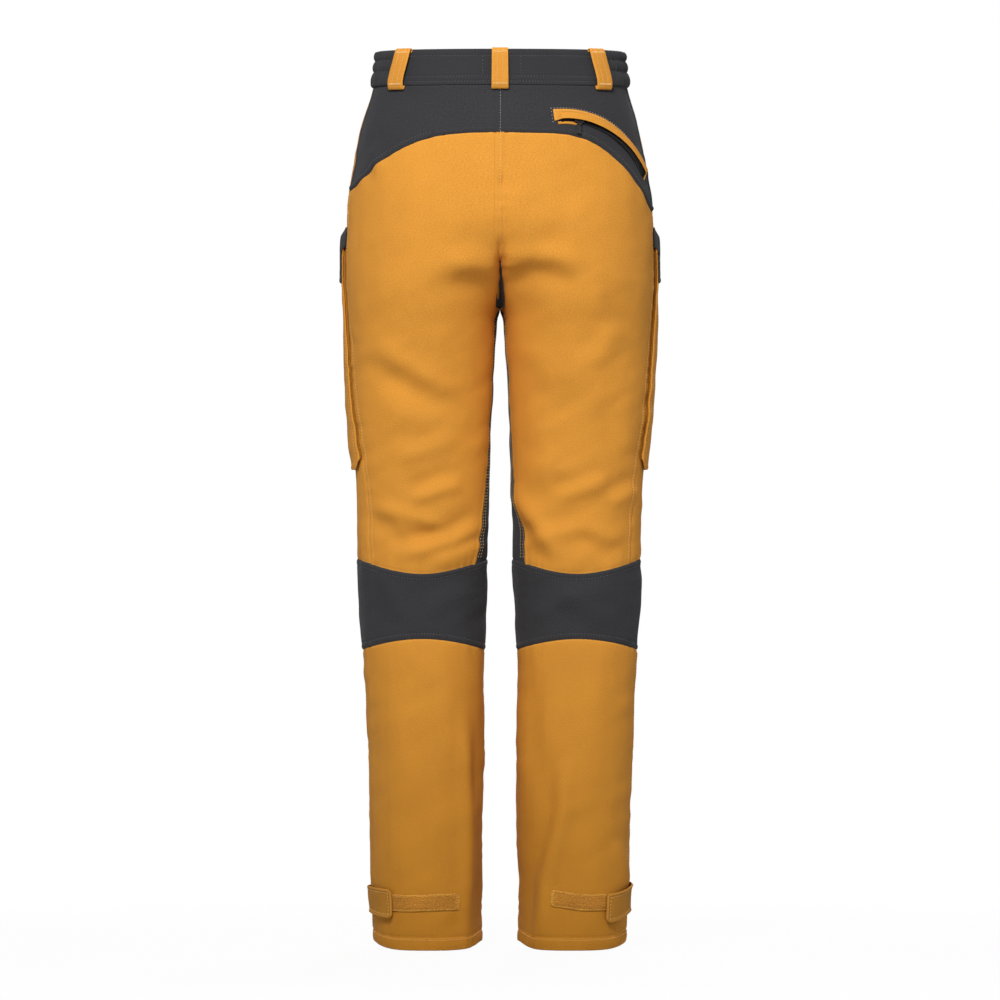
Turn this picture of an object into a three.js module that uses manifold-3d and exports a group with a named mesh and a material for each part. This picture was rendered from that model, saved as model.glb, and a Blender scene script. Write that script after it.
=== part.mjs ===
// Outdoor work trousers, modelled as the separate pieces that are sewn or fitted together.
// Millimetres. +Z is up, +X is towards the wearer's right, the back of the trousers faces -Y.
// The origin is the middle of the waist opening, level with the waistband's top edge at the back.
import * as THREE from "three";
import { mergeVertices } from "three/addons/utils/BufferGeometryUtils.js";
import Module from "manifold-3d";

const wasm = await Module();
wasm.setup();

// ---- Driving dimensions -------------------------------------------------------------------

// Drops are measured down from the waistband's top edge.
const WAISTBAND_HEIGHT = 42;
const HIP_DROP = 200;
const CROTCH_DROP = 292;
const KNEE_DROP = 650;
const OUTSEAM = 1052;
const FRONT_WAIST_DIP = 18;

const FABRIC = 1.4;
const SEAM_GAP = 0.5;
const LAYER_GAP = 0.4;
const TORSO_ROUNDNESS = 2.3;
const LEG_ROUNDNESS = 2.15;

// Half-width to the outer side, half the gap between the legs, depth behind and in front of the axis.
const PROFILE = [
  { drop: 0, outer: 143, gap: 0, back: 93, front: 99 },
  { drop: WAISTBAND_HEIGHT, outer: 149, gap: 0, back: 97, front: 102 },
  { drop: HIP_DROP * 0.5, outer: 165, gap: 0, back: 114, front: 107 },
  { drop: HIP_DROP, outer: 179, gap: 1, back: 132, front: 112 },
  { drop: CROTCH_DROP - 30, outer: 180, gap: 2, back: 124, front: 109 },
  { drop: CROTCH_DROP + 30, outer: 178, gap: 4, back: 104, front: 102 },
  { drop: CROTCH_DROP + 120, outer: 175, gap: 9.5, back: 88, front: 94 },
  { drop: KNEE_DROP - 130, outer: 167, gap: 13, back: 75, front: 82 },
  { drop: KNEE_DROP - 30, outer: 166, gap: 15.5, back: 66, front: 78 },
  { drop: KNEE_DROP + 70, outer: 160, gap: 20, back: 71, front: 68 },
  { drop: (KNEE_DROP + OUTSEAM) / 2, outer: 154.5, gap: 19, back: 74, front: 60 },
  { drop: OUTSEAM - 90, outer: 151, gap: 21, back: 72, front: 59 },
  { drop: OUTSEAM, outer: 148, gap: 22, back: 69, front: 61 },
];

// Knee panels: half-height of the back panel at its middle, and how much taller it is at the sides.
const KNEE_BACK_HALF_HEIGHT = 38;
const KNEE_TOP_RISE = 17;
const KNEE_BOTTOM_DROP = 13;
const KNEE_FRONT_RISE = 38;
const KNEE_FRONT_DROP = 60;

// The dark yoke's curved lower edge, down the back: the drop at the middle, the further drop at the
// side seam, and how late the curve falls.
const YOKE_DROP = 98;
const YOKE_FALL = { left: 68, right: 92 };
const YOKE_CURVE = { left: 3.4, right: 4.8 };

// The side seam's angle about the leg, behind the outermost line, at the hip and at the knee.
const SIDE_SEAM_HIP = { left: -14, right: -10 };
const SIDE_SEAM_KNEE = { left: -34, right: -31 };
// The dark inner-leg panel's two seams, as angles about the leg, at the crotch and at the knee.
const INNER_BACK_CROTCH = -166;
const INNER_BACK_KNEE = -147;
const INNER_FRONT_CROTCH = 160;
const INNER_FRONT_KNEE = 146;
const SHIN_OUTER_SEAM = 8;
const SHIN_INNER_SEAM = 172;

const LOOP_WIDTH = 20;
const LOOP_THICKNESS = 1.7;
const LOOP_STAND_OFF = 6.8;
const LOOP_RETURN = 3;
const BELT_HEIGHT = 40;
const REAR_LOOP_ANGLE = 30;
const FRONT_LOOP_ANGLE = 50;
const ELASTIC_BACK_ANGLE = 26;
const ELASTIC_FRONT_ANGLE = 30;
const ELASTIC_THICKNESS = 1.2;
const FACING_THICKNESS = 1;

const FLY_LENGTH = 130;
const FLY_HALF_OPENING = 7;
const ZIP_TAPE_HALF = 12;
const ZIP_TAPE_THICKNESS = 0.9;
const ZIP_CHAIN_HALF = 2.6;
const ZIP_CHAIN_HEIGHT = 1.4;
const SLIDER = { width: 8, length: 11, height: 2.6 };
const PULL = { width: 6, length: 22, thickness: 1.4 };
const PIN_RADIUS = 0.8;
const EYE_RADIUS = 1.7;
const EYE_HALF = 1.3;
const LUG_THICKNESS = 1.1;
const SLIDER_CLEARANCE = 0.35;

const TAB_ROOT = 20;
const TAB_REACH = 36;
const TAB_THICKNESS = 2;
const STUD_RADIUS = 8.5;
const STUD_HEIGHT = 2.4;

const POCKET_MOUTH_DROP = 230;
const POCKET_BOTTOM_DROP = 490;
const POCKET_SWEEP = 76;
const POCKET_DEPTH = 10;
const FLAP_TOP_DROP = 206;
const FLAP_BOTTOM_DROP = 271;
const FLAP_ROLL = 20;
const FLAP_OVERHANG = 1.6;

const HEM_HEIGHT = 14;
const HEM_THICKNESS = 2.4;
const HEM_TAB_MIDDLE = 55;
const HEM_TAB_HEIGHT = 38;
const HEM_TAB_ROOT = 10;
const HEM_TAB_TIP = { left: -57, right: -59 };
const HEM_TAB_STAND_OFF = 3.6;
const HOOK_LOOP_HEIGHT = 20;
const HOOK_LOOP_THICKNESS = 1.3;
const LOOP_STRIP_END = { left: -125, right: -115 };

// The back pocket's zip runs along an arc through these three places on the right yoke.
const BACK_ZIP = [
  { across: 70, drop: 82 },
  { across: 134, drop: 101 },
  { across: 166, drop: 145 },
];
const BACK_ZIP_LIFT = 1.1;
const BACK_ZIP_TAPE_HALF = 4.5;
const BACK_SLIDER_START = 22;
const BACK_COVER_END = 7;
const BACK_COVER_ABOVE = 12;
const BACK_COVER_BELOW = 5;
const BACK_COVER_LIFT = 7.2;
const BACK_PULL = { width: 5, length: 12, thickness: 1.2 };

const HAND_POCKET_DROP = 195;
const HAND_POCKET_SWEEP = 52;

// ---- Smooth profile and body surface --------------------------------------------------------

const rad = (degrees) => (degrees * Math.PI) / 180;
const mix = (a, b, t) => a + (b - a) * t;
const clamp01 = (t) => Math.min(1, Math.max(0, t));
const smooth = (t) => clamp01(t) ** 2 * (3 - 2 * clamp01(t));

// A curve through (x, y) points that never overshoots them.
function monotoneCurve(xs, ys) {
  const n = xs.length;
  const slope = xs.slice(1).map((x, i) => (ys[i + 1] - ys[i]) / (x - xs[i]));
  const tangent = xs.map((_, i) => {
    if (i === 0) return slope[0];
    if (i === n - 1) return slope[n - 2];
    const [a, b] = [slope[i - 1], slope[i]];
    return a * b <= 0 ? 0 : (2 * a * b) / (a + b);
  });
  return (x) => {
    let i = 0;
    while (i < n - 2 && x > xs[i + 1]) i++;
    const h = xs[i + 1] - xs[i];
    const t = clamp01((x - xs[i]) / h);
    return (
      ys[i] * (1 + 2 * t) * (1 - t) ** 2 +
      tangent[i] * h * t * (1 - t) ** 2 +
      ys[i + 1] * t * t * (3 - 2 * t) +
      tangent[i + 1] * h * t * t * (t - 1)
    );
  };
}

const drops = PROFILE.map((row) => row.drop);
const column = (key) =>
  monotoneCurve(
    drops,
    PROFILE.map((row) => row[key]),
  );
const outerAt = column("outer");
const gapAt = column("gap");
const backAt = column("back");
const frontAt = column("front");

// How much of a level belongs to the joined hips (1) rather than to two separate legs (0).
const HIP_BLEND_LOW = CROTCH_DROP + 24;
const HIP_BLEND_HIGH = CROTCH_DROP * 0.64;
const hipShare = (drop) => smooth((HIP_BLEND_LOW - drop) / (HIP_BLEND_LOW - HIP_BLEND_HIGH));

function ovalRadius(cx, angle, a, b) {
  const [c, s] = [Math.cos(angle), Math.sin(angle)];
  let [low, high] = [0, a + cx + b];
  for (let i = 0; i < 40; i++) {
    const r = (low + high) / 2;
    const inside =
      Math.abs((cx + r * c) / a) ** TORSO_ROUNDNESS + Math.abs((r * s) / b) ** TORSO_ROUNDNESS;
    if (inside < 1) low = r;
    else high = r;
  }
  return (low + high) / 2;
}

// A point on the right half of the bare surface. The angle turns about the leg's own axis:
// 0 is outermost, -90 is the back, 90 the front and 180 the inner side.
function skin(angle, z) {
  const drop = -z;
  const [outer, gap] = [outerAt(drop), gapAt(drop)];
  const cx = (outer + gap) / 2;
  const a = (outer - gap) / 2;
  const t = rad(angle);
  const b = Math.sin(t) < 0 ? backAt(drop) : frontAt(drop);
  const leg =
    (Math.abs(Math.cos(t) / a) ** LEG_ROUNDNESS + Math.abs(Math.sin(t) / b) ** LEG_ROUNDNESS) **
    (-1 / LEG_ROUNDNESS);
  const share = hipShare(drop);
  const r = share > 0 ? mix(leg, ovalRadius(cx, t, outer, b), share) : leg;
  return new THREE.Vector3(cx + r * Math.cos(t), r * Math.sin(t), z);
}

function outward(surface, u, v, stepU, stepV) {
  const du = surface(u + stepU, v).sub(surface(u - stepU, v));
  const dv = surface(u, v + stepV).sub(surface(u, v - stepV));
  return du.cross(dv).normalize();
}

const SIDES = { left: -1, right: 1 };
const sidesOf = (make) => Object.keys(SIDES).map((side) => make(side, SIDES[side]));

// The surface of one half, moved out by an offset. angle and z as in skin().
function legPoint(sign, angle, z, offset = 0) {
  const p = skin(angle, z).addScaledVector(outward(skin, angle, z, 0.5, 0.5), offset);
  p.x *= sign;
  return p;
}

// The joined waist, by the angle about the middle of the body: 0 right, -90 back, 90 front.
function waistSkin(angle, z) {
  const t = rad(angle);
  const b = Math.sin(t) < 0 ? backAt(-z) : frontAt(-z);
  const r =
    (Math.abs(Math.cos(t) / outerAt(-z)) ** TORSO_ROUNDNESS +
      Math.abs(Math.sin(t) / b) ** TORSO_ROUNDNESS) **
    (-1 / TORSO_ROUNDNESS);
  return new THREE.Vector3(r * Math.cos(t), r * Math.sin(t), z);
}
const waistPoint = (angle, z, offset = 0) =>
  waistSkin(angle, z).addScaledVector(outward(waistSkin, angle, z, 0.5, 0.5), offset);

const waistDip = (y) => FRONT_WAIST_DIP * Math.max(0, y / frontAt(0)) ** 2;
const waistTop = (angle) => -waistDip(waistSkin(angle, 0).y);
const waistBottom = (angle) => waistTop(angle) - WAISTBAND_HEIGHT;

// The angle at which a level of the right half comes within x of the middle plane.
function angleAtX(x, z, facing) {
  let [near, far] = [90 * facing, 180 * facing];
  if (skin(far, z).x >= x) return far;
  for (let i = 0; i < 40; i++) {
    const middle = (near + far) / 2;
    if (skin(middle, z).x > x) near = middle;
    else far = middle;
  }
  return (near + far) / 2;
}

// The height at which the surface at an angle comes within x of the middle plane.
function riseHeight(angle, x) {
  let [low, high] = [-(CROTCH_DROP + 60), -HIP_BLEND_HIGH];
  for (let i = 0; i < 40; i++) {
    const middle = (low + high) / 2;
    if (skin(angle, middle).x > x) low = middle;
    else high = middle;
  }
  return (low + high) / 2;
}

// The right half's surface nearest to a point, found along the ray from the leg's own axis.
function onSkin(p, offset = 0) {
  const cx = (outerAt(-p.z) + gapAt(-p.z)) / 2;
  return legPoint(1, (Math.atan2(p.y, p.x - cx) * 180) / Math.PI, p.z, offset);
}

// The back surface at x across, on the right half.
function backAcross(x, z) {
  let [low, high] = [0, 180];
  for (let i = 0; i < 40; i++) {
    const middle = (low + high) / 2;
    if (skin(-middle, z).x > x) low = middle;
    else high = middle;
  }
  return skin(-low, z);
}

// ---- Solids from surface patches ------------------------------------------------------------

// A closed shell over a grid: outer(u, v) and inner(u, v) are its two faces, u and v from 0 to 1.
// A ring joins its last column to its first.
function shell(outer, inner, columns, rows, ring = false) {
  const across = ring ? columns : columns + 1;
  const points = [];
  for (const face of [outer, inner])
    for (let j = 0; j <= rows; j++)
      for (let i = 0; i < across; i++) points.push(face(i / columns, j / rows));
  const half = across * (rows + 1);
  const at = (layer, i, j) => layer * half + j * across + (i % across);
  const faces = [];
  const quad = (a, b, c, d) => faces.push(a, b, c, a, c, d);
  for (let j = 0; j < rows; j++)
    for (let i = 0; i < columns; i++) {
      quad(at(0, i, j), at(0, i + 1, j), at(0, i + 1, j + 1), at(0, i, j + 1));
      quad(at(1, i, j), at(1, i, j + 1), at(1, i + 1, j + 1), at(1, i + 1, j));
    }
  for (let i = 0; i < columns; i++) {
    quad(at(0, i + 1, 0), at(0, i, 0), at(1, i, 0), at(1, i + 1, 0));
    quad(at(0, i, rows), at(0, i + 1, rows), at(1, i + 1, rows), at(1, i, rows));
  }
  if (!ring)
    for (let j = 0; j < rows; j++) {
      quad(at(0, 0, j), at(0, 0, j + 1), at(1, 0, j + 1), at(1, 0, j));
      quad(at(0, columns, j + 1), at(0, columns, j), at(1, columns, j), at(1, columns, j + 1));
    }
  const geometry = new THREE.BufferGeometry().setFromPoints(points);
  geometry.setIndex(faces);
  return signedVolume(geometry) < 0 ? turned(geometry) : geometry;
}

function signedVolume(geometry) {
  const [p, index] = [geometry.attributes.position, geometry.index.array];
  const corner = (k) => new THREE.Vector3().fromBufferAttribute(p, index[k]);
  let sum = 0;
  for (let k = 0; k < index.length; k += 3) {
    sum += corner(k).dot(corner(k + 1).cross(corner(k + 2)));
  }
  return sum / 6;
}

function turned(geometry) {
  const index = geometry.index.array;
  for (let k = 0; k < index.length; k += 3) {
    [index[k + 1], index[k + 2]] = [index[k + 2], index[k + 1]];
  }
  return geometry;
}

function solidOf(geometry) {
  const plain = geometry.clone();
  plain.deleteAttribute("normal");
  plain.deleteAttribute("uv");
  const merged = mergeVertices(plain, 1e-4);
  return new wasm.Manifold(
    new wasm.Mesh({
      numProp: 3,
      vertProperties: merged.attributes.position.array,
      triVerts: new Uint32Array(merged.index.array),
    }),
  );
}

function geometryOf(solid) {
  const mesh = solid.getMesh();
  const position = new THREE.BufferAttribute(new Float32Array(mesh.vertProperties), 3);
  const geometry = new THREE.BufferGeometry().setAttribute("position", position);
  return geometry.setIndex(new THREE.BufferAttribute(new Uint32Array(mesh.triVerts), 1));
}

const subtract = (from, ...tools) =>
  geometryOf(tools.reduce((solid, tool) => solid.subtract(solidOf(tool)), solidOf(from)));
const join = (...geometries) =>
  geometryOf(geometries.map(solidOf).reduce((all, next) => all.add(next)));

// A patch of one half's surface between two angle edges and two height edges, each a function,
// drawn in by half the seam gap. from and to are its offsets from the bare surface, and through
// is a share of its height at which one of its rows has to lie.
function legPatch(sign, edges, from, to, columns, rows, inset = SEAM_GAP / 2, through = 0.5) {
  const row = Math.max(1, Math.round(through * rows)) / rows;
  const rowShare = (v) =>
    v < row ? (v / row) * through : mix(through, 1, (v - row) / Math.max(1 - row, 1e-9));
  const place = (u, share) => {
    const v = through === 0.5 ? share : rowShare(share);
    let z = mix(edges.bottom(0), edges.top(0), v);
    let angle = 0;
    for (let i = 0; i < 6; i++) {
      const first = edges.first(z);
      const last = edges.last(z);
      const turn = Math.sign(last - first);
      angle = mix(first + turn * inAngle(first, z), last - turn * inAngle(last, z), u);
      z = mix(edges.bottom(angle) + inset, edges.top(angle) - inset, v);
    }
    return [angle, z];
  };
  const inAngle = (angle, z) => {
    const step = skin(angle + 0.5, z).distanceTo(skin(angle - 0.5, z));
    return inset / Math.max(step, 0.3);
  };
  const offset = (value, u, v) => (typeof value === "function" ? value(u, v) : value);
  const face = (value) => (u, v) => {
    const [angle, z] = place(u, v);
    return legPoint(sign, angle, z, offset(value, u, v));
  };
  return shell(face(to), face(from), columns, rows);
}

// The same for the joined waist, between two angles.
function waistPatch(first, last, top, bottom, from, to, columns, rows) {
  const face = (value) => (u, v) => {
    const angle = mix(first, last, u);
    const offset = typeof value === "function" ? value(u, v) : value;
    return waistPoint(angle, mix(bottom(angle), top(angle), v), offset);
  };
  return shell(face(to), face(from), columns, rows);
}

// A closed outline of (across, out) pairs, carried along frames from one distance to another.
function swept(outline, frameOf, from, to, steps) {
  const points = [];
  for (let j = 0; j <= steps; j++) {
    const frame = frameOf(mix(from, to, j / steps));
    for (const [w, h] of outline) points.push(new THREE.Vector3(w, 0, h).applyMatrix4(frame));
  }
  const n = outline.length;
  const faces = [];
  for (let j = 0; j < steps; j++)
    for (let i = 0; i < n; i++) {
      const [a, b] = [j * n + i, j * n + ((i + 1) % n)];
      faces.push(a, b, b + n, a, b + n, a + n);
    }
  const flat = outline.map(([w, h]) => new THREE.Vector2(w, h));
  const last = steps * n;
  const clockwise = THREE.ShapeUtils.isClockWise(flat);
  for (const [a, b, c] of THREE.ShapeUtils.triangulateShape(flat, [])) {
    const turn = clockwise ? [a, b, c] : [a, c, b];
    const same = THREE.ShapeUtils.isClockWise([flat[a], flat[b], flat[c]]) === clockwise;
    const [p, q, r] = same ? turn : [turn[0], turn[2], turn[1]];
    if (clockwise) faces.push(p, r, q, last + p, last + q, last + r);
    else faces.push(p, q, r, last + p, last + r, last + q);
  }
  const geometry = new THREE.BufferGeometry().setFromPoints(points);
  geometry.setIndex(faces);
  return signedVolume(geometry) < 0 ? turned(geometry) : geometry;
}

// A straight bar in a local frame: along x, y and z from the low to the high corner.
function bar(frame, low, high) {
  const size = high.map((value, i) => value - low[i]);
  const box = new THREE.BoxGeometry(...size);
  box.translate(...low.map((value, i) => value + size[i] / 2));
  return box.applyMatrix4(frame);
}

function cylinder(frame, radius, height, sides = 20) {
  const round = new THREE.CylinderGeometry(radius, radius, height, sides);
  round.rotateX(Math.PI / 2).translate(0, 0, height / 2);
  return round.applyMatrix4(frame);
}

// A frame whose x runs across, whose z is the outward normal and whose y completes it.
function frameAt(origin, normal, across) {
  const z = normal.clone().normalize();
  const y = z.clone().cross(across).normalize();
  const x = y.clone().cross(z).normalize();
  return new THREE.Matrix4().makeBasis(x, y, z).setPosition(origin);
}

// ---- Materials --------------------------------------------------------------------------------

const cloth = (color, roughness = 0.85) =>
  new THREE.MeshStandardMaterial({ color, roughness, metalness: 0 });
const OCHRE = cloth(0xdf963c);
const CHARCOAL = cloth(0x424244);
const LINING = cloth(0x3a3a3d, 0.9);
const POCKETING = cloth(0x8a6a34, 0.9);
const ELASTIC = cloth(0x2c2c2e, 0.95);
const HOOK_AND_LOOP = cloth(0xb27a2c, 1);
const ZIP_TAPE = cloth(0x2a2a2c, 0.9);
const METAL = new THREE.MeshStandardMaterial({ color: 0x55565a, roughness: 0.4, metalness: 0.9 });

const trousers = new THREE.Group();
function add(name, geometry, material) {
  const mesh = new THREE.Mesh(geometry, material);
  mesh.name = name;
  trousers.add(mesh);
}

// ---- Waistband, facing, elastic and belt loops ------------------------------------------------

const degreesOf = (length, radius) => (length / radius) * (180 / Math.PI);
const WAIST_SEAM = degreesOf(SEAM_GAP / 2, outerAt(0));
const FACING_OUT = -(FABRIC + 2 * LAYER_GAP + ELASTIC_THICKNESS);
const FACING_IN = FACING_OUT - FACING_THICKNESS;
const CLOSURE_ANGLE = degreesOf(TAB_ROOT, frontAt(0));

function band(first, last, columns) {
  const low = (angle) => waistBottom(angle) + SEAM_GAP / 2;
  return waistPatch(first + WAIST_SEAM, last - WAIST_SEAM, waistTop, low, -FABRIC, 0, columns, 2);
}

add("waistband_back", band(ELASTIC_BACK_ANGLE - 180, -ELASTIC_BACK_ANGLE, 22), CHARCOAL);
add("waistband_side_right", band(-ELASTIC_BACK_ANGLE, ELASTIC_FRONT_ANGLE, 16), CHARCOAL);
add("waistband_side_left", band(180 - ELASTIC_FRONT_ANGLE, 180 + ELASTIC_BACK_ANGLE, 16), CHARCOAL);
add("waistband_front_right", band(ELASTIC_FRONT_ANGLE, 90 - WAIST_SEAM, 10), CHARCOAL);
add("waistband_front_left", band(90 + CLOSURE_ANGLE, 180 - ELASTIC_FRONT_ANGLE, 8), CHARCOAL);

const inWaistband = (inset) => ({
  top: (angle) => waistTop(angle) - inset,
  bottom: (angle) => waistBottom(angle) + inset,
});
{
  const { top, bottom } = inWaistband(1);
  const gapAngle = CLOSURE_ANGLE + 2;
  const facing = waistPatch(90 + gapAngle, 450 - gapAngle, top, bottom, FACING_IN, FACING_OUT, 72, 1);
  add("waistband_facing", facing, LINING);
}
{
  const { top, bottom } = inWaistband(4);
  const inner = FACING_OUT + LAYER_GAP;
  const strip = (first, last) =>
    waistPatch(first, last, top, bottom, inner, inner + ELASTIC_THICKNESS, 14, 1);
  const margin = 2;
  const [rear, front] = [ELASTIC_BACK_ANGLE - margin, ELASTIC_FRONT_ANGLE - margin];
  add("waist_elastic_right", strip(-rear, front), ELASTIC);
  add("waist_elastic_left", strip(180 - front, 180 + rear), ELASTIC);
}

// A loop is a strap whose folded ends are tacked to the band's top and just under the band.
function beltLoop(angle) {
  const half = degreesOf(LOOP_WIDTH / 2, waistSkin(angle, 0).length());
  const top = (a) => waistTop(a) - 0.2;
  const bottom = (a) => top(a) - BELT_HEIGHT - 2 * LOOP_RETURN;
  const outer = LOOP_STAND_OFF + LOOP_THICKNESS;
  const block = waistPatch(angle - half, angle + half, top, bottom, LAYER_GAP, outer, 3, 3);
  const spaceTop = (a) => top(a) - LOOP_RETURN;
  const spaceBottom = (a) => bottom(a) + LOOP_RETURN;
  const wide = half * 1.5;
  const space = waistPatch(
    angle - wide, angle + wide, spaceTop, spaceBottom, -2, LOOP_STAND_OFF, 3, 3,
  );
  return subtract(block, space);
}
add("belt_loop_rear_centre", beltLoop(-90), OCHRE);
add("belt_loop_rear_right", beltLoop(-REAR_LOOP_ANGLE), OCHRE);
add("belt_loop_rear_left", beltLoop(REAR_LOOP_ANGLE - 180), OCHRE);
add("belt_loop_front_right", beltLoop(FRONT_LOOP_ANGLE), OCHRE);
add("belt_loop_front_left", beltLoop(180 - FRONT_LOOP_ANGLE), OCHRE);

// ---- Seams that the panels share --------------------------------------------------------------

const kneeTop = (angle) => {
  const [c, s] = [Math.cos(rad(angle)) ** 2, Math.sin(rad(angle))];
  const edge = -KNEE_DROP + KNEE_BACK_HALF_HEIGHT;
  return s < 0 ? edge + KNEE_TOP_RISE * c : edge + KNEE_TOP_RISE + KNEE_FRONT_RISE * s * s;
};
const kneeBottom = (angle) => {
  const [c, s] = [Math.cos(rad(angle)) ** 2, Math.sin(rad(angle))];
  const edge = -KNEE_DROP - KNEE_BACK_HALF_HEIGHT;
  return s < 0 ? edge - KNEE_BOTTOM_DROP * c : edge - KNEE_BOTTOM_DROP - KNEE_FRONT_DROP * s * s;
};
const legShare = (z, high, low) => smooth((high - z) / (high - low));
const sideSeam = (side) => (z) =>
  mix(SIDE_SEAM_HIP[side], SIDE_SEAM_KNEE[side], legShare(z, -HIP_DROP, -(KNEE_DROP - 90)));
const innerBack = (z) =>
  mix(INNER_BACK_CROTCH, INNER_BACK_KNEE, legShare(z, -(CROTCH_DROP + 100), -(KNEE_DROP - 30)) ** 1.5);
const innerFront = (z) =>
  mix(INNER_FRONT_CROTCH, INNER_FRONT_KNEE, legShare(z, -(CROTCH_DROP + 100), -(KNEE_DROP - 30)));
const centreBack = (z) => Math.max(angleAtX(SEAM_GAP / 4, z, -1), innerBack(z));
const FLY_BOTTOM = -(FRONT_WAIST_DIP + WAISTBAND_HEIGHT + FLY_LENGTH);
const flyHalf = (z) =>
  mix(SEAM_GAP / 4, FLY_HALF_OPENING, smooth((z - FLY_BOTTOM) / (2 * FLY_HALF_OPENING)));
const centreFront = (z) => Math.min(angleAtX(flyHalf(z), z, 1), innerFront(z));

const yokeEdge = (side) => (angle) => {
  const reach = Math.min(1, Math.max(0, skin(angle, -YOKE_DROP).x / skin(-4, -YOKE_DROP).x));
  return -YOKE_DROP - YOKE_FALL[side] * reach ** YOKE_CURVE[side];
};
const bandEdge = (angle) => {
  const p = skin(angle, -WAISTBAND_HEIGHT);
  return -waistDip((p.y * frontAt(0)) / frontAt(WAISTBAND_HEIGHT)) - WAISTBAND_HEIGHT;
};
// The slanted mouth of the hand pocket, as an angle about the leg.
const handPocketMouth = (side) => (z) => {
  const start = -(FRONT_WAIST_DIP + WAISTBAND_HEIGHT);
  const t = Math.max(0, (z + HAND_POCKET_DROP) / (start + HAND_POCKET_DROP));
  return sideSeam(side)(z) + HAND_POCKET_SWEEP * t;
};

// ---- Cloth panels -----------------------------------------------------------------------------

const hemTop = () => -OUTSEAM + HEM_HEIGHT;
const shinFirst = () => SHIN_INNER_SEAM - 360;
const shinOuter = () => SHIN_OUTER_SEAM;
const shinInner = () => SHIN_INNER_SEAM;

sidesOf((side, sign) => {
  const outer = sideSeam(side);
  const panel = (name, material, columns, rows, first, last, bottom, top, through) => {
    const edges = { first, last, bottom, top };
    const cloth = legPatch(sign, edges, -FABRIC, 0, columns, rows, SEAM_GAP / 2, through);
    add(`${name}_${side}`, cloth, material);
  };
  const crotchShare = (angle, top) => {
    const low = kneeTop(angle);
    return (riseHeight(angle, SEAM_GAP / 4) - low) / (top - low);
  };
  panel("yoke", CHARCOAL, 12, 4, centreBack, outer, yokeEdge(side), bandEdge);
  const backCrotch = crotchShare(INNER_BACK_CROTCH, -YOKE_DROP);
  panel("back_panel", OCHRE, 12, 16, centreBack, outer, kneeTop, yokeEdge(side), backCrotch);
  const frontOuter = (z) => (z > -HAND_POCKET_DROP ? handPocketMouth(side)(z) : outer(z));
  const frontCrotch = crotchShare(INNER_FRONT_CROTCH, -(FRONT_WAIST_DIP + WAISTBAND_HEIGHT));
  panel("front_panel", OCHRE, 14, 18, frontOuter, centreFront, kneeTop, bandEdge, frontCrotch);
  const hipBottom = () => -HAND_POCKET_DROP + 3;
  panel("hip_piece", OCHRE, 5, 6, outer, handPocketMouth(side), hipBottom, bandEdge);
  const innerFirst = (z) => innerFront(z) - 360;
  const rise = (angle) => riseHeight(angle, SEAM_GAP / 4);
  panel("inner_leg_panel", CHARCOAL, 4, 9, innerFirst, innerBack, kneeTop, rise);
  panel("knee_back_panel", CHARCOAL, 16, 3, shinFirst, shinOuter, kneeBottom, kneeTop);
  panel("knee_front_panel", OCHRE, 14, 4, shinOuter, shinInner, kneeBottom, kneeTop);
  panel("lower_back_panel", OCHRE, 16, 5, shinFirst, shinOuter, hemTop, kneeBottom);
  panel("lower_front_panel", OCHRE, 14, 5, shinOuter, shinInner, hemTop, kneeBottom);
});

// ---- Hems and their hook-and-loop tabs ----------------------------------------------------------

sidesOf((side, sign) => {
  const level = (v) => mix(-OUTSEAM, hemTop() - SEAM_GAP / 2, v);
  const ring = (offset) => (u, v) => legPoint(sign, -180 + 360 * u, level(v), offset).setZ(level(v));
  const proud = (HEM_THICKNESS - FABRIC) / 2;
  add(`hem_${side}`, shell(ring(proud), ring(-FABRIC - proud), 36, 1, true), OCHRE);

  const tip = HEM_TAB_TIP[side];
  const middle = -OUTSEAM + HEM_TAB_MIDDLE;
  const box = (first, last, height) => ({
    first: () => first,
    last: () => last,
    bottom: () => middle - height / 2,
    top: () => middle + height / 2,
  });
  const stripTop = LAYER_GAP + HOOK_LOOP_THICKNESS;
  const strip = box(tip + 17, LOOP_STRIP_END[side], HOOK_LOOP_HEIGHT);
  const loops = legPatch(sign, strip, LAYER_GAP, stripTop, 10, 1, 0);
  add(`hem_loop_strip_${side}`, loops, HOOK_AND_LOOP);

  const low = (u) => mix(LAYER_GAP, HEM_TAB_STAND_OFF, smooth(u / 0.4));
  const tabFrom = (u) => low(u);
  const tabTo = (u) => low(u) + TAB_THICKNESS;
  const tab = box(HEM_TAB_ROOT, tip, HEM_TAB_HEIGHT);
  add(`hem_tab_${side}`, legPatch(sign, tab, tabFrom, tabTo, 14, 1, 0), OCHRE);
  const hookFrom = stripTop + LAYER_GAP / 2;
  const hookTo = HEM_TAB_STAND_OFF - LAYER_GAP;
  const hook = box(tip + 16, tip + 1.5, HOOK_LOOP_HEIGHT);
  add(`hem_hook_${side}`, legPatch(sign, hook, hookFrom, hookTo, 4, 1, 0), HOOK_AND_LOOP);
});

// ---- Bellows pockets on the thighs, with their flaps ----------------------------------------------

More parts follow.
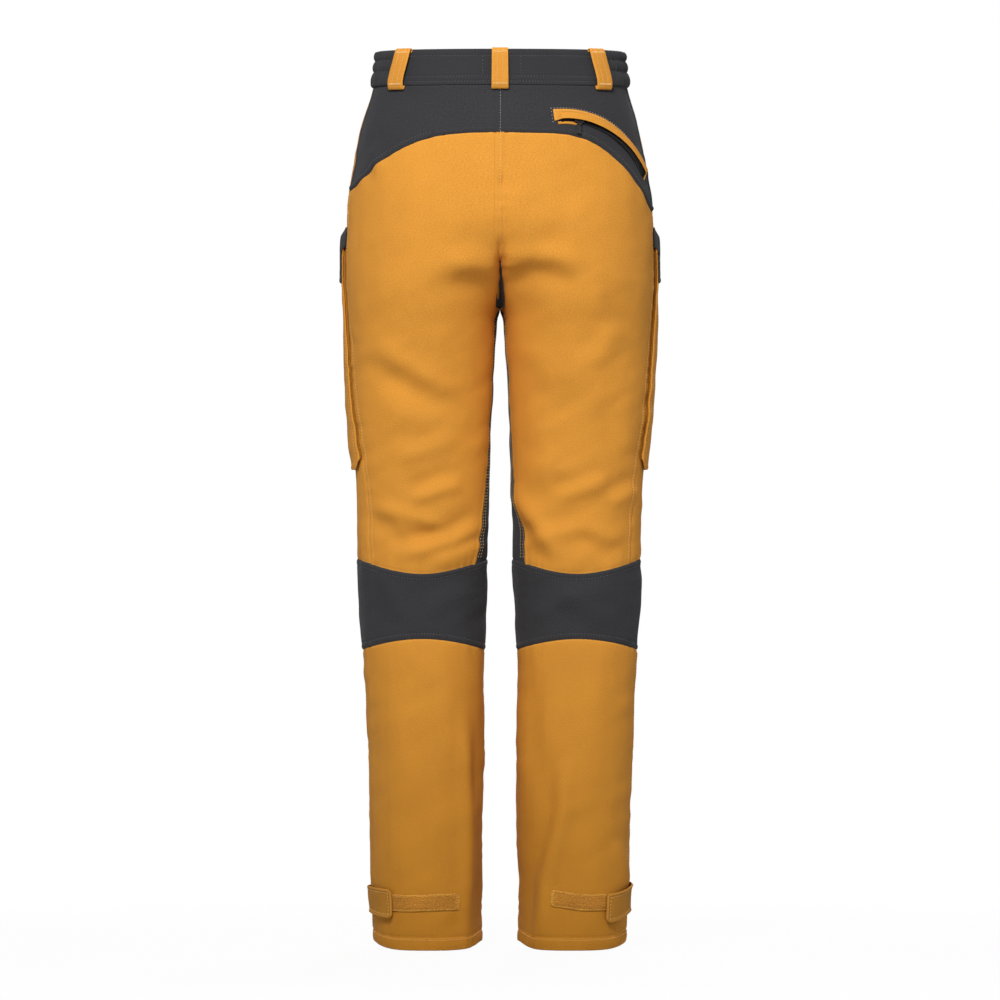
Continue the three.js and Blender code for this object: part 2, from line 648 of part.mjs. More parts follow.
sidesOf((side, sign) => {
  const rear = (z) => sideSeam(side)(z) + 2;
  const fore = (z) => rear(z) + POCKET_SWEEP;
  const corner = 14;
  const bottom = (angle) => {
    const end = Math.min(angle - rear(-POCKET_BOTTOM_DROP), fore(-POCKET_BOTTOM_DROP) - angle);
    return -POCKET_BOTTOM_DROP + corner * (1 - clamp01(end / 9));
  };
  const mouth = () => -POCKET_MOUTH_DROP;
  const edges = { first: rear, last: fore, bottom, top: mouth };
  const face = legPatch(sign, edges, POCKET_DEPTH - FABRIC, POCKET_DEPTH, 12, 8, 0);
  add(`thigh_pocket_face_${side}`, face, OCHRE);

  // The gusset's wall follows the pocket's edge down, along the bottom and up again.
  const path = [];
  const low = -POCKET_BOTTOM_DROP + corner;
  for (let i = 0; i <= 7; i++) path.push({ z: mix(mouth(), low, i / 7), edge: rear, turn: 1 });
  for (let i = 0; i <= 9; i++) path.push({ share: i / 9 });
  for (let i = 0; i <= 7; i++) path.push({ z: mix(low, mouth(), i / 7), edge: fore, turn: -1 });
  const pathPoint = (index, inward, offset) => {
    const { z, edge, turn, share } = path[index];
    const degrees = (mm, height) => mm / skin(0.5, height).distanceTo(skin(-0.5, height));
    if (edge) return legPoint(sign, edge(z) + turn * degrees(inward, z), z, offset);
    const level = -POCKET_BOTTOM_DROP;
    const first = rear(level) + 9 + (inward * 4) / 9;
    const last = fore(level) - 9 - (inward * 4) / 9;
    return legPoint(sign, mix(first, last, share), level + inward, offset);
  };
  const count = path.length - 1;
  const wall = (inward) => (u, v) => {
    const offset = mix(1.5 * LAYER_GAP, POCKET_DEPTH - FABRIC - 1.5 * LAYER_GAP, v);
    return pathPoint(Math.round(u * count), inward, offset);
  };
  add(`thigh_pocket_gusset_${side}`, shell(wall(0), wall(FABRIC), count, 1), OCHRE);

  const flapEdges = {
    first: (z) => rear(z) - 1,
    last: (z) => fore(z) + 1,
    bottom: () => -FLAP_BOTTOM_DROP,
    top: () => -FLAP_TOP_DROP,
  };
  const flapHeight = FLAP_BOTTOM_DROP - FLAP_TOP_DROP;
  const roll = (v) => smooth(((1 - v) * flapHeight) / FLAP_ROLL);
  const under = (u, v) => mix(LAYER_GAP, POCKET_DEPTH + FLAP_OVERHANG, roll(v));
  const over = (u, v) => under(u, v) + FABRIC;
  add(`thigh_flap_${side}`, legPatch(sign, flapEdges, under, over, 9, 7, 0), CHARCOAL);
});

// ---- Hand pocket bags -----------------------------------------------------------------------------

const BAG_OUT = -(FABRIC + 4 * LAYER_GAP);
const BAG_IN = BAG_OUT - 0.9;
sidesOf((side, sign) => {
  const edges = {
    first: (z) => sideSeam(side)(z) + 4,
    last: () => 98,
    bottom: (angle) => -HAND_POCKET_DROP - 85 + 0.35 * Math.abs(angle - 50),
    top: (angle) => bandEdge(angle) - 4,
  };
  add(`hand_pocket_bag_${side}`, legPatch(sign, edges, BAG_IN, BAG_OUT, 8, 5), POCKETING);
});

// ---- Zips -----------------------------------------------------------------------------------------

// A tape with its coil on top, as an outline across the zip.
const zipOutline = (tapeHalf) => [
  [-tapeHalf, 0],
  [tapeHalf, 0],
  [tapeHalf, ZIP_TAPE_THICKNESS],
  [ZIP_CHAIN_HALF, ZIP_TAPE_THICKNESS],
  [ZIP_CHAIN_HALF, ZIP_TAPE_THICKNESS + ZIP_CHAIN_HEIGHT],
  [-ZIP_CHAIN_HALF, ZIP_TAPE_THICKNESS + ZIP_CHAIN_HEIGHT],
  [-ZIP_CHAIN_HALF, ZIP_TAPE_THICKNESS],
  [-tapeHalf, ZIP_TAPE_THICKNESS],
];
const SLIDER_LOW = ZIP_TAPE_THICKNESS + SLIDER_CLEARANCE;
const SLIDER_TOP = SLIDER_LOW + SLIDER.height;
const sliderOutline = () => {
  const half = SLIDER.width / 2;
  const slot = ZIP_CHAIN_HALF + SLIDER_CLEARANCE;
  const roof = ZIP_TAPE_THICKNESS + ZIP_CHAIN_HEIGHT + SLIDER_CLEARANCE;
  return [
    [-half, SLIDER_LOW],
    [-slot, SLIDER_LOW],
    [-slot, roof],
    [slot, roof],
    [slot, SLIDER_LOW],
    [half, SLIDER_LOW],
    [half, SLIDER_TOP],
    [-half, SLIDER_TOP],
  ];
};
const turnTo = (direction) => {
  const z = new THREE.Vector3(0, 0, 1);
  return new THREE.Matrix4().makeRotationFromQuaternion(
    new THREE.Quaternion().setFromUnitVectors(z, direction),
  );
};
// A round bar centred on a place in a frame, along the frame's x or y.
function crossBar(frame, place, direction, radius, half, sides = 16) {
  const local = new THREE.Matrix4().makeTranslation(...place).multiply(turnTo(direction));
  const shift = new THREE.Matrix4().makeTranslation(0, 0, -half);
  return cylinder(frame.clone().multiply(local).multiply(shift), radius, 2 * half, sides);
}
const ACROSS = new THREE.Vector3(1, 0, 0);
const ALONG = new THREE.Vector3(0, 1, 0);
const LUG_IN = EYE_HALF + 0.3;
const LUG_OUT = LUG_IN + LUG_THICKNESS;

// Fly: a straight zip behind the gap between the two front panels.
const flyStart = -(FRONT_WAIST_DIP + WAISTBAND_HEIGHT + 1.5);
const flyEnd = FLY_BOTTOM + 2;
const flyTopPoint = skin(angleAtX(FLY_HALF_OPENING, flyStart, 1), flyStart).setX(0);
const flyEndPoint = skin(angleAtX(FLY_HALF_OPENING, flyEnd, 1), flyEnd).setX(0);
const flyLength = flyTopPoint.distanceTo(flyEndPoint);
const flyDown = flyEndPoint.clone().sub(flyTopPoint).normalize();
const flyOut = new THREE.Vector3(1, 0, 0).cross(flyDown);
const flySunk = FABRIC + 3 * LAYER_GAP + ZIP_TAPE_THICKNESS;
const flyFrame = (distance) =>
  frameAt(
    flyTopPoint.clone().addScaledVector(flyDown, distance).addScaledVector(flyOut, -flySunk),
    flyOut,
    ACROSS,
  );
add("fly_zip_tape", swept(zipOutline(ZIP_TAPE_HALF), flyFrame, 0, flyLength, 1), ZIP_TAPE);
{
  const at = SLIDER.length / 2 + 2;
  const frame = flyFrame(at);
  const half = SLIDER.length / 2;
  const body = swept(sliderOutline(), flyFrame, at - half, at + half, 1);
  const pinHeight = SLIDER_TOP + 0.25 + EYE_RADIUS;
  const pinAlong = -2;
  const lug = (sign) =>
    bar(
      frame,
      [sign > 0 ? LUG_IN : -LUG_OUT, pinAlong - 1.6, SLIDER_TOP - 0.4],
      [sign > 0 ? LUG_OUT : -LUG_IN, pinAlong + 1.6, pinHeight + 1.4],
    );
  const pin = crossBar(frame, [0, pinAlong, pinHeight], ACROSS, PIN_RADIUS, LUG_OUT - 0.2);
  add("fly_zip_slider", join(body, lug(1), lug(-1), pin), METAL);

  const eye = crossBar(frame, [0, pinAlong, pinHeight], ACROSS, EYE_RADIUS, EYE_HALF);
  const neck = bar(
    frame,
    [-EYE_HALF, pinAlong, pinHeight - PULL.thickness / 2],
    [EYE_HALF, pinAlong + 6, pinHeight + PULL.thickness / 2],
  );
  const plate = bar(
    frame,
    [-PULL.width / 2, pinAlong + 4.5, pinHeight - PULL.thickness / 2],
    [PULL.width / 2, pinAlong + PULL.length, pinHeight + PULL.thickness / 2],
  );
  const hole = crossBar(frame, [0, pinAlong, pinHeight], ACROSS, PIN_RADIUS + 0.25, 5);
  add("fly_zip_pull", subtract(join(eye, neck, plate), hole), METAL);

  const shield = bar(flyFrame(0), [-20, 0.5, -1.4], [20, flyLength + 8, -LAYER_GAP]);
  add("fly_shield", shield, LINING);
}

// Back pocket: the circle through the three named places is the path that the slider follows.
const zipArc = (() => {
  const [a, b, c] = BACK_ZIP.map(({ across, drop }) => backAcross(across, -drop));
  const [ab, ac] = [b.clone().sub(a), c.clone().sub(a)];
  const axis = ab.clone().cross(ac);
  const toCentre = axis
    .clone()
    .cross(ab)
    .multiplyScalar(ac.lengthSq())
    .add(ac.clone().cross(axis).multiplyScalar(ab.lengthSq()))
    .divideScalar(2 * axis.lengthSq());
  const centre = a.clone().add(toCentre);
  axis.normalize();
  const radius = toCentre.length();
  const sweep = a.clone().sub(centre).angleTo(c.clone().sub(centre));
  const turnAt = (distance) => distance / radius;
  const pointAt = (angle) => a.clone().sub(centre).applyAxisAngle(axis, angle).add(centre);
  const middle = pointAt(sweep / 2);
  const out = onSkin(middle, 1).sub(onSkin(middle)).normalize();
  const frameOf = (distance) => {
    const angle = turnAt(distance);
    const normal = out.clone().applyAxisAngle(axis, angle - sweep / 2);
    const tangent = axis.clone().cross(pointAt(angle).sub(centre)).normalize();
    const across = tangent.clone().cross(normal).normalize();
    const up = across.clone().cross(tangent).normalize();
    return new THREE.Matrix4()
      .makeBasis(across, tangent, up)
      .setPosition(pointAt(angle).addScaledVector(up, BACK_ZIP_LIFT));
  };
  return { axis, centre, radius, length: sweep * radius, frameOf };
})();
add(
  "back_pocket_zip",
  swept(zipOutline(BACK_ZIP_TAPE_HALF), zipArc.frameOf, 1, zipArc.length - 1, 12),
  ZIP_TAPE,
);
{
  const at = BACK_SLIDER_START;
  const frame = zipArc.frameOf(at);
  const half = SLIDER.length / 2;
  const body = swept(sliderOutline(), zipArc.frameOf, at - half, at + half, 3);
  const pinAcross = SLIDER.width / 2 + 0.3 + EYE_RADIUS;
  const pinHeight = SLIDER_LOW + EYE_RADIUS - 0.2;
  const lug = (sign) =>
    bar(
      frame,
      [SLIDER.width / 2 - 0.5, sign > 0 ? LUG_IN : -LUG_OUT, pinHeight - 1.2],
      [pinAcross + 1.2, sign > 0 ? LUG_OUT : -LUG_IN, pinHeight + 1.2],
    );
  const pin = crossBar(frame, [pinAcross, 0, pinHeight], ALONG, PIN_RADIUS, LUG_OUT - 0.2);
  add("back_pocket_slider", join(body, lug(1), lug(-1), pin), METAL);

  const eye = crossBar(frame, [pinAcross, 0, pinHeight], ALONG, EYE_RADIUS, EYE_HALF);
  const low = pinHeight - BACK_PULL.thickness / 2;
  const neck = bar(
    frame,
    [pinAcross, -EYE_HALF, low],
    [pinAcross + 4, EYE_HALF, low + BACK_PULL.thickness],
  );
  const plate = bar(
    frame,
    [pinAcross + 3, -BACK_PULL.width / 2, low],
    [pinAcross + BACK_PULL.length, BACK_PULL.width / 2, low + BACK_PULL.thickness],
  );
  const hole = crossBar(frame, [pinAcross, 0, pinHeight], ALONG, PIN_RADIUS + 0.25, 5);
  add("back_pocket_pull", subtract(join(eye, neck, plate), hole), METAL);
}
{
  const [from, to] = [-BACK_COVER_END, zipArc.length + BACK_COVER_END];
  const lift = (u, v) => {
    const along = mix(from, to, u);
    const across = mix(-BACK_COVER_ABOVE, BACK_COVER_BELOW, v);
    const end = Math.min(along - from, to - along);
    const rise = smooth((end - 2) / 6) * smooth((across + BACK_COVER_ABOVE - 1.5) / 5);
    return mix(LAYER_GAP, BACK_COVER_LIFT, rise);
  };
  const face = (extra) => (u, v) => {
    const distance = mix(from, to, u);
    const across = mix(-BACK_COVER_ABOVE, BACK_COVER_BELOW, v);
    const p = new THREE.Vector3(across, 0, -BACK_ZIP_LIFT).applyMatrix4(zipArc.frameOf(distance));
    return onSkin(p, lift(u, v) + extra);
  };
  add("back_pocket_cover", shell(face(FABRIC), face(0), 20, 6), OCHRE);

  const edges = {
    first: () => -122,
    last: () => -24,
    bottom: (angle) => -225 + 0.2 * Math.abs(angle + 70),
    top: () => -74,
  };
  add("back_pocket_bag", legPatch(1, edges, BAG_IN, BAG_OUT, 12, 5), POCKETING);
}

// ---- Waist closure ----------------------------------------------------------------------------------

{
  const root = 90 - degreesOf(8, frontAt(0));
  const tip = 90 + degreesOf(TAB_REACH, frontAt(0));
  const { top, bottom } = inWaistband(2);
  const raised = STUD_HEIGHT + 2 * LAYER_GAP;
  const under = (u) => mix(LAYER_GAP, raised, smooth(u / 0.5));
  const over = (u) => under(u) + TAB_THICKNESS;
  add("waist_tab", waistPatch(root, tip, top, bottom, under, over, 9, 1), CHARCOAL);

  const studAngle = tip - degreesOf(11, frontAt(0));
  const height = (waistTop(studAngle) + waistBottom(studAngle)) / 2;
  const base = waistPoint(studAngle, height);
  const normal = waistPoint(studAngle, height, 1).sub(base);
  const outwardBy = (distance) =>
    frameAt(base.clone().addScaledVector(normal, distance), normal, new THREE.Vector3(0, 0, 1));
  add(
    "waist_stud_cap",
    cylinder(outwardBy(raised + TAB_THICKNESS + LAYER_GAP), STUD_RADIUS, STUD_HEIGHT, 24),
    METAL,
  );
  add("waist_stud_socket", cylinder(outwardBy(LAYER_GAP), STUD_RADIUS - 2.5, STUD_HEIGHT, 24), METAL);
}

export default trousers;
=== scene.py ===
import bpy
import numpy as np
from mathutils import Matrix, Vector


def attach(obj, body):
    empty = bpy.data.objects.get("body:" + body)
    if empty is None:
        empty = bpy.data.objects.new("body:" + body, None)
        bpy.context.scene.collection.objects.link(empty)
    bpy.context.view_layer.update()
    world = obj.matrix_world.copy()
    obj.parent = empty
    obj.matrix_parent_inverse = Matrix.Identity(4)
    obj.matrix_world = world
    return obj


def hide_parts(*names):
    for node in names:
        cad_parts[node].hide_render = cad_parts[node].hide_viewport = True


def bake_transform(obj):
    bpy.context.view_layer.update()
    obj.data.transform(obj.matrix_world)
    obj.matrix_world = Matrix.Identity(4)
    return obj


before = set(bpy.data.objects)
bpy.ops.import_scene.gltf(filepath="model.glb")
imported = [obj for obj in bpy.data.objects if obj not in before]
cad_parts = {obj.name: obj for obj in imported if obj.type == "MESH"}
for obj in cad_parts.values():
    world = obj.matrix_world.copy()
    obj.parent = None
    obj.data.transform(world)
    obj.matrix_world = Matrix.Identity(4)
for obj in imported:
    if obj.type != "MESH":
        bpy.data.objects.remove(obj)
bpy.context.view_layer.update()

# ---- Seat and back-thigh panels ------------------------------------------------------------------
# One piece of ochre stretch-woven cloth a side, from the yoke to the knee, joined at the centre back.
# Its top goes under the yoke and its outer edge laps over the front panel with two rows of thread.

# Drop from the waist, half-width, half the gap between the legs, depth behind and in front, in mm.
LEG_BLOCK = np.array([
    (0, 143, 0, 93, 99), (42, 149, 0, 97, 102), (100, 165, 0, 114, 107), (200, 179, 1, 132, 112),
    (262, 180, 2, 124, 109), (322, 178, 4, 104, 102), (412, 175, 9.5, 88, 94),
    (520, 167, 13, 75, 82), (620, 166, 15.5, 66, 78), (720, 160, 20, 71, 68),
    (851, 154.5, 19, 74, 60), (962, 151, 21, 72, 59), (1052, 148, 22, 69, 61)], float)
BAND_HEIGHT, HIP, CROTCH, KNEE, OUTSEAM, FRONT_DIP = 42, 200, 292, 650, 1052, 18
TORSO_ROUND, LEG_ROUND = 2.3, 2.15
SIDES = {"left": -1, "right": 1}
SIDE_HIP = {"left": -14, "right": -10}
SIDE_KNEE = {"left": -34, "right": -31}
YOKE_DROP = 98
YOKE_FALL = {"left": 68, "right": 92}
YOKE_CURVE = {"left": 3.4, "right": 4.8}


def smooth(t):
    t = np.clip(t, 0, 1)
    return t * t * (3 - 2 * t)


def mix(a, b, t):
    return a + (b - a) * t


def monotone(xs, ys):
    """A curve through points that never overshoots them."""
    slope = np.diff(ys) / np.diff(xs)
    product = slope[:-1] * slope[1:]
    total = slope[:-1] + slope[1:]
    inner = np.where(product > 0, 2 * product / np.where(total == 0, 1, total), 0)
    tangent = np.concatenate([slope[:1], inner, slope[-1:]])

    def curve(x):
        i = np.clip(np.searchsorted(xs, x, side="left") - 1, 0, len(xs) - 2)
        h = xs[i + 1] - xs[i]
        t = np.clip((x - xs[i]) / h, 0, 1)
        return (ys[i] * (1 + 2 * t) * (1 - t) ** 2 + tangent[i] * h * t * (1 - t) ** 2
                + ys[i + 1] * t * t * (3 - 2 * t) + tangent[i + 1] * h * t * t * (t - 1))

    return curve


outer_at, gap_at, back_at, front_at = (
    monotone(LEG_BLOCK[:, 0], LEG_BLOCK[:, k]) for k in (1, 2, 3, 4))


def block(angle, z):
    """The bare right half: the angle turns about the leg, 0 outermost, -90 the back, 90 the front."""
    angle, z = np.broadcast_arrays(np.asarray(angle, float), np.asarray(z, float))
    drop = -z
    outer, gap = outer_at(drop), gap_at(drop)
    centre, half = (outer + gap) / 2, (outer - gap) / 2
    c, s = np.cos(np.radians(angle)), np.sin(np.radians(angle))
    depth = np.where(s < 0, back_at(drop), front_at(drop))
    radius = (abs(c / half) ** LEG_ROUND + abs(s / depth) ** LEG_ROUND) ** (-1 / LEG_ROUND)
    share = smooth((CROTCH + 24 - drop) / (CROTCH + 24 - CROTCH * 0.64))
    joined = share > 0
    if joined.any():
        ce, ou, de, cc, ss = (v[joined] for v in (centre, outer, depth, c, s))
        low, high = np.zeros_like(ce), ou + ce + de
        for _ in range(26):
            r = (low + high) / 2
            inside = abs((ce + r * cc) / ou) ** TORSO_ROUND + abs(r * ss / de) ** TORSO_ROUND < 1
            low, high = np.where(inside, r, low), np.where(inside, high, r)
        radius = np.array(radius)
        radius[joined] = mix(radius[joined], (low + high) / 2, share[joined])
    return np.stack([centre + radius * c, radius * s, z], -1)


def outward(surface, u, v):
    du = surface(u + 0.5, v) - surface(u - 0.5, v)
    dv = surface(u, v + 0.5) - surface(u, v - 0.5)
    n = np.cross(du, dv)
    return n / np.linalg.norm(n, axis=-1, keepdims=True)


def degree(angle, z):
    """Millimetres of cloth to one degree about the leg."""
    return np.maximum(np.linalg.norm(block(angle + 0.5, z) - block(angle - 0.5, z), axis=-1), 0.3)


def angle_at(x, z, facing):
    """The angle at which a level of the half comes within x of the middle plane."""
    x, z = np.broadcast_arrays(np.asarray(x, float), np.asarray(z, float))
    near, far = np.full(z.shape, 90.0 * facing), np.full(z.shape, 180.0 * facing)
    apart = block(far, z)[..., 0] >= x
    for _ in range(32):
        middle = (near + far) / 2
        out = block(middle, z)[..., 0] > x
        near, far = np.where(out, middle, near), np.where(out, far, middle)
    return np.where(apart, 180.0 * facing, (near + far) / 2)


def leg_share(z, high, low):
    return smooth((high - z) / (high - low))


def inner_back(z):
    return mix(-166, -147, leg_share(z, -(CROTCH + 100), -(KNEE - 30)) ** 1.5)


def inner_front(z):
    return mix(160, 146, leg_share(z, -(CROTCH + 100), -(KNEE - 30)))


def side_seam(side):
    return lambda z: mix(SIDE_HIP[side], SIDE_KNEE[side], leg_share(z, -HIP, -(KNEE - 90)))


def knee_top(angle):
    c, s = np.cos(np.radians(angle)) ** 2, np.sin(np.radians(angle))
    return -KNEE + 38 + 17 * c + np.where(s < 0, 0, (17 - 17 * c) + 38 * s * s)


def knee_bottom(angle):
    c, s = np.cos(np.radians(angle)) ** 2, np.sin(np.radians(angle))
    return -KNEE - 38 - 13 * c - np.where(s < 0, 0, (13 - 13 * c) + 60 * s * s)


LEVELS = np.arange(-1056, 1.01, 0.5)
CENTRE_BACK = np.maximum(angle_at(0.125, LEVELS, -1), inner_back(LEVELS))


def centre_back(z):
    return np.interp(z, LEVELS, CENTRE_BACK)


YOKE_REACH = block(np.array([-4.0]), -YOKE_DROP)[0, 0]


def yoke_edge(side):
    def edge(angle):
        reach = np.clip(block(angle, -YOKE_DROP)[..., 0] / YOKE_REACH, 0, 1)
        return -YOKE_DROP - YOKE_FALL[side] * reach ** YOKE_CURVE[side]
    return edge


# Soft folds where cloth hangs and bends: side, width, height, lean of the hollow, and a line of
# (across, height). A fold behind the leg and a fold before it are kept apart.
FOLDS_BEHIND = [
    (1, 14, 5.2, 1, [(-14, -254), (4, -250), (35, -240), (64, -243), (108, -256)]),
    (-1, 14, 3.6, 1, [(-70, -254), (-34, -246), (8, -254)]),
    (1, 30, 3.0, -1, [(12, -150), (30, -190), (60, -225)]),
    (-1, 9, 2.0, -1, [(-134, -146), (-146, -132), (-154, -112)]),
    (-1, 15, 2.2, 1, [(-100, -262), (-60, -252), (-20, -262), (0, -290)]),
    (-1, 13, 3.4, 1, [(-150, -338), (-120, -362), (-90, -381), (-36, -408)]),
    (-1, 20, 2.0, -1, [(-150, -400), (-105, -430), (-40, -440)]),
    (1, 13, 2.6, -1, [(104, -376), (122, -350), (142, -312)]),
    (1, 13, 2.0, 1, [(146, -398), (148, -475)]),
    (1, 18, 2.2, 1, [(16, -484), (76, -494), (140, -499)]),
    (1, 15, 1.6, -1, [(110, -268), (117, -345)]),
    (1, 20, 1.8, 1, [(20, -330), (60, -372), (110, -396)]),
    (-1, 9, 3.6, -1, [(-128, -592), (-90, -584), (-53, -574), (-8, -548)]),
    (-1, 8, 2.6, -1, [(-88, -603), (-45, -589), (-10, -572)]),
    (-1, 9, 3.0, -1, [(-110, -528), (-75, -516), (-38, -505)]),
    (-1, 9, 2.6, 1, [(-142, -529), (-100, -546), (-56, -558)]),
    (-1, 10, 2.6, 1, [(-150, -527), (-124, -546), (-95, -570)]),
    (-1, 12, 2.0, -1, [(-130, -478), (-90, -470), (-40, -452)]),
    (1, 11, 3.4, 1, [(8, -506), (41, -551), (76, -602)]),
    (1, 10, 3.0, -1, [(56, -528), (96, -515), (134, -500)]),
    (1, 9, 2.4, -1, [(124, -532), (144, -522), (166, -510)]),
    (1, 10, 2.4, 1, [(84, -548), (118, -566), (150, -574)]),
    (1, 10, 2.2, -1, [(20, -588), (60, -566), (104, -560)]),
    (-1, 13, 2.4, 1, [(-150, -602), (-123, -645), (-108, -676)]),
    (-1, 12, 1.8, -1, [(-96, -660), (-60, -640), (-20, -632)]),
    (1, 12, 2.2, -1, [(30, -670), (80, -640), (140, -628)]),
    (1, 12, 1.6, 1, [(60, -618), (100, -652), (150, -676)]),
    (-1, 9, 4.4, -1, [(-44, -740), (-38, -925), (-40, -1090)]),
    (-1, 18, 1.8, 1, [(-120, -720), (-112, -850), (-118, -1000)]),
    (-1, 14, 1.6, 1, [(-80, -700), (-66, -760), (-62, -850)]),
    (1, 11, 4.8, 1, [(78, -800), (74, -888), (66, -925), (53, -972), (42, -1090)]),
    (1, 9, 2.4, -1, [(134, -915), (143, -951), (151, -990)]),
    (1, 9, 2.0, -1, [(26, -735), (25, -800), (28, -880)]),
    (1, 16, 1.6, 1, [(120, -700), (108, -800), (110, -880)]),
]
FOLDS_BEFORE = [
    (-1, 14, 3.2, 1, [(-6, -290), (-60, -276), (-140, -262)]),
    (1, 14, 3.2, -1, [(6, -286), (62, -270), (142, -254)]),
    (-1, 13, 2.4, 1, [(-10, -318), (-66, -322), (-150, -330)]),
    (1, 13, 2.4, -1, [(10, -314), (70, -326), (150, -338)]),
    (-1, 18, 2.0, -1, [(-40, -230), (-70, -180), (-92, -110)]),
    (1, 18, 2.0, 1, [(40, -226), (72, -180), (96, -106)]),
    (-1, 16, 2.2, 1, [(-140, -470), (-92, -500), (-30, -512)]),
    (1, 16, 2.2, -1, [(30, -486), (92, -512), (150, -520)]),
    (-1, 12, 2.4, -1, [(-140, -560), (-90, -574), (-30, -566)]),
    (1, 12, 2.2, 1, [(28, -558), (88, -572), (146, -560)]),
    (-1, 14, 2.2, 1, [(-140, -748), (-90, -770), (-36, -762)]),
    (1, 14, 2.4, 1, [(34, -744), (92, -768), (142, -756)]),
    (-1, 18, 2.2, 1, [(-100, -800), (-92, -900), (-84, -1040)]),
    (1, 18, 2.2, -1, [(96, -800), (90, -900), (100, -1040)]),
    (-1, 12, 2.0, 1, [(-130, -950), (-90, -985), (-40, -992)]),
    (1, 12, 2.0, -1, [(38, -960), (90, -990), (136, -1004)]),
]


def fold(x, z, width, height, lean, line):
    """A soft ridge along a line, with a hollow on one side of it, fading out at both ends."""
    points = np.array(line, float)
    lengths = np.linalg.norm(np.diff(points, axis=0), axis=1)
    total, done = lengths.sum(), 0.0
    near = np.full(x.shape, 1e9)
    signed, along = np.zeros(x.shape), np.zeros(x.shape)
    for a, b, length in zip(points[:-1], points[1:], lengths):
        d = (b - a) / length
        t = (x - a[0]) * d[0] + (z - a[1]) * d[1]
        held = np.clip(t, 0, length)
        across = d[0] * (z - a[1]) - d[1] * (x - a[0])
        gap = np.hypot(x - a[0] - held * d[0], z - a[1] - held * d[1])
        nearer = gap < near
        near = np.where(nearer, gap, near)
        signed = np.where(nearer, np.where(across < 0, -gap, gap), signed)
        along = np.where(nearer, (done + held) / total, along)
        done += length
    ends = smooth(np.minimum(along, 1 - along) / 0.3)
    ridge = np.exp(-(near / width) ** 2)
    hollow = np.exp(-((signed + lean * 1.7 * width) / (1.1 * width)) ** 2)
    return 1.35 * height * ends * (ridge - 0.75 * hollow)


def rumple(p, cell, seed):
    """Smooth random heights from -1 to 1 over space, the same on every run."""
    grid = np.random.default_rng(seed).uniform(-1, 1, (40, 40, 64))
    q = p / np.asarray(cell, float) + np.array([18.3, 18.6, 60.2])
    i = np.clip(np.floor(q).astype(int), 0, np.array(grid.shape) - 2)
    f = smooth(q - i)
    out = 0
    for dx in (0, 1):
        for dy in (0, 1):
            for dz in (0, 1):
                w = (np.where(dx, f[..., 0], 1 - f[..., 0]) * np.where(dy, f[..., 1], 1 - f[..., 1])
                     * np.where(dz, f[..., 2], 1 - f[..., 2]))
                out = out + w * grid[i[..., 0] + dx, i[..., 1] + dy, i[..., 2] + dz]
    return out


def pucker(along, pitch, seed):
    """Uneven little gathers along a seam, from -1 to 1."""
    return (np.sin(2 * np.pi * along / pitch + seed + 1.6 * np.sin(2 * np.pi * along / (3.7 * pitch)))
            * (0.55 + 0.45 * np.sin(2 * np.pi * along / (5.3 * pitch) + 2 * seed)))


def drape(sign, angle, z, p):
    """How far the hung cloth stands off the block, outwards, in mm."""
    side = "left" if sign < 0 else "right"
    x = sign * p[..., 0]
    s = np.sin(np.radians(angle))
    lift = np.zeros(x.shape)
    for weight, folds in ((smooth((0.22 - s) / 0.6), FOLDS_BEHIND),
                          (smooth((s + 0.1) / 0.6), FOLDS_BEFORE)):
        used = weight > 0.001
        if not used.any():
            continue
        sum_of = np.zeros(used.sum())
        for half, width, height, lean, line in folds:
            if half * sign >= 0:
                sum_of += fold(x[used], z[used], width, height, lean, line)
        lift[used] += weight[used] * sum_of
    q = np.stack([x, p[..., 1], z], -1)
    lift += 1.5 * rumple(q, (52, 52, 80), 3) + 0.7 * rumple(q, (23, 23, 31), 5)
    slant = np.stack([x + 0.6 * z, p[..., 1], z - 0.6 * x], -1)
    low = smooth((-z - 300) / 120)
    lift += (0.45 + 0.5 * low) * rumple(slant, (60, 60, 17), 7)
    lift += 0.28 * rumple(q, (8, 8, 10), 11)
    # Seams draw the cloth in and gather it.
    centre = (outer_at(-z) + gap_at(-z)) / 2
    radius = np.hypot(p[..., 0] - centre, p[..., 1]) * np.pi / 180
    turn = np.arctan2(p[..., 1], p[..., 0] - centre) * 180 / np.pi

    def seam(d, along, depth, reach, gather, pitch, seed):
        return (-depth * np.exp(-(d / 3.2) ** 2)
                + gather * np.exp(-abs(d) / reach) * pucker(along, pitch, seed))

    arc = turn * radius
    lift += seam(z - knee_top(turn), arc, 0.7, 9, 0.8, 15, 1.0)
    lift += seam(z - knee_bottom(turn), arc, 0.7, 9, 0.8, 13, 2.2)
    lift += seam(z + OUTSEAM - 14, arc, 0.5, 7, 0.55, 11, 0.4)
    above = z > knee_bottom(turn)
    for at, on in ((side_seam(side)(z), above), (inner_back(z), above), (inner_front(z), above),
                   (8 + 0 * z, ~above), (172 + 0 * z, ~above)):
        d = ((turn - at + 180) % 360 - 180) * radius
        on = on & (z < -60)
        lift += np.where(on, seam(d, z, 0.5, 8, 0.5, 17, at.mean() * 0.1), 0)
    rear = smooth((-s - 0.05) / 0.2)
    edge = yoke_edge(side)(angle)
    lift += rear * np.where(z < -60, seam(1.2 * (z - edge), x, 0.9, 11, 0.9, 16, 0.7), 0)
    middle = smooth((-z - 130) / 30) * smooth((z + CROTCH + 20) / 20)
    lift += rear * middle * seam(x - 3, z, 2.2, 10, 1.3, 17, 0.2)
    return lift * smooth((-z - 46) / 36)


def hem_rise(angle, z):
    """The hem hangs a little higher at the two sides of a leg than at its back and front."""
    return 9 * smooth((-z - 930) / 122) * abs(np.cos(np.radians(angle))) ** 4


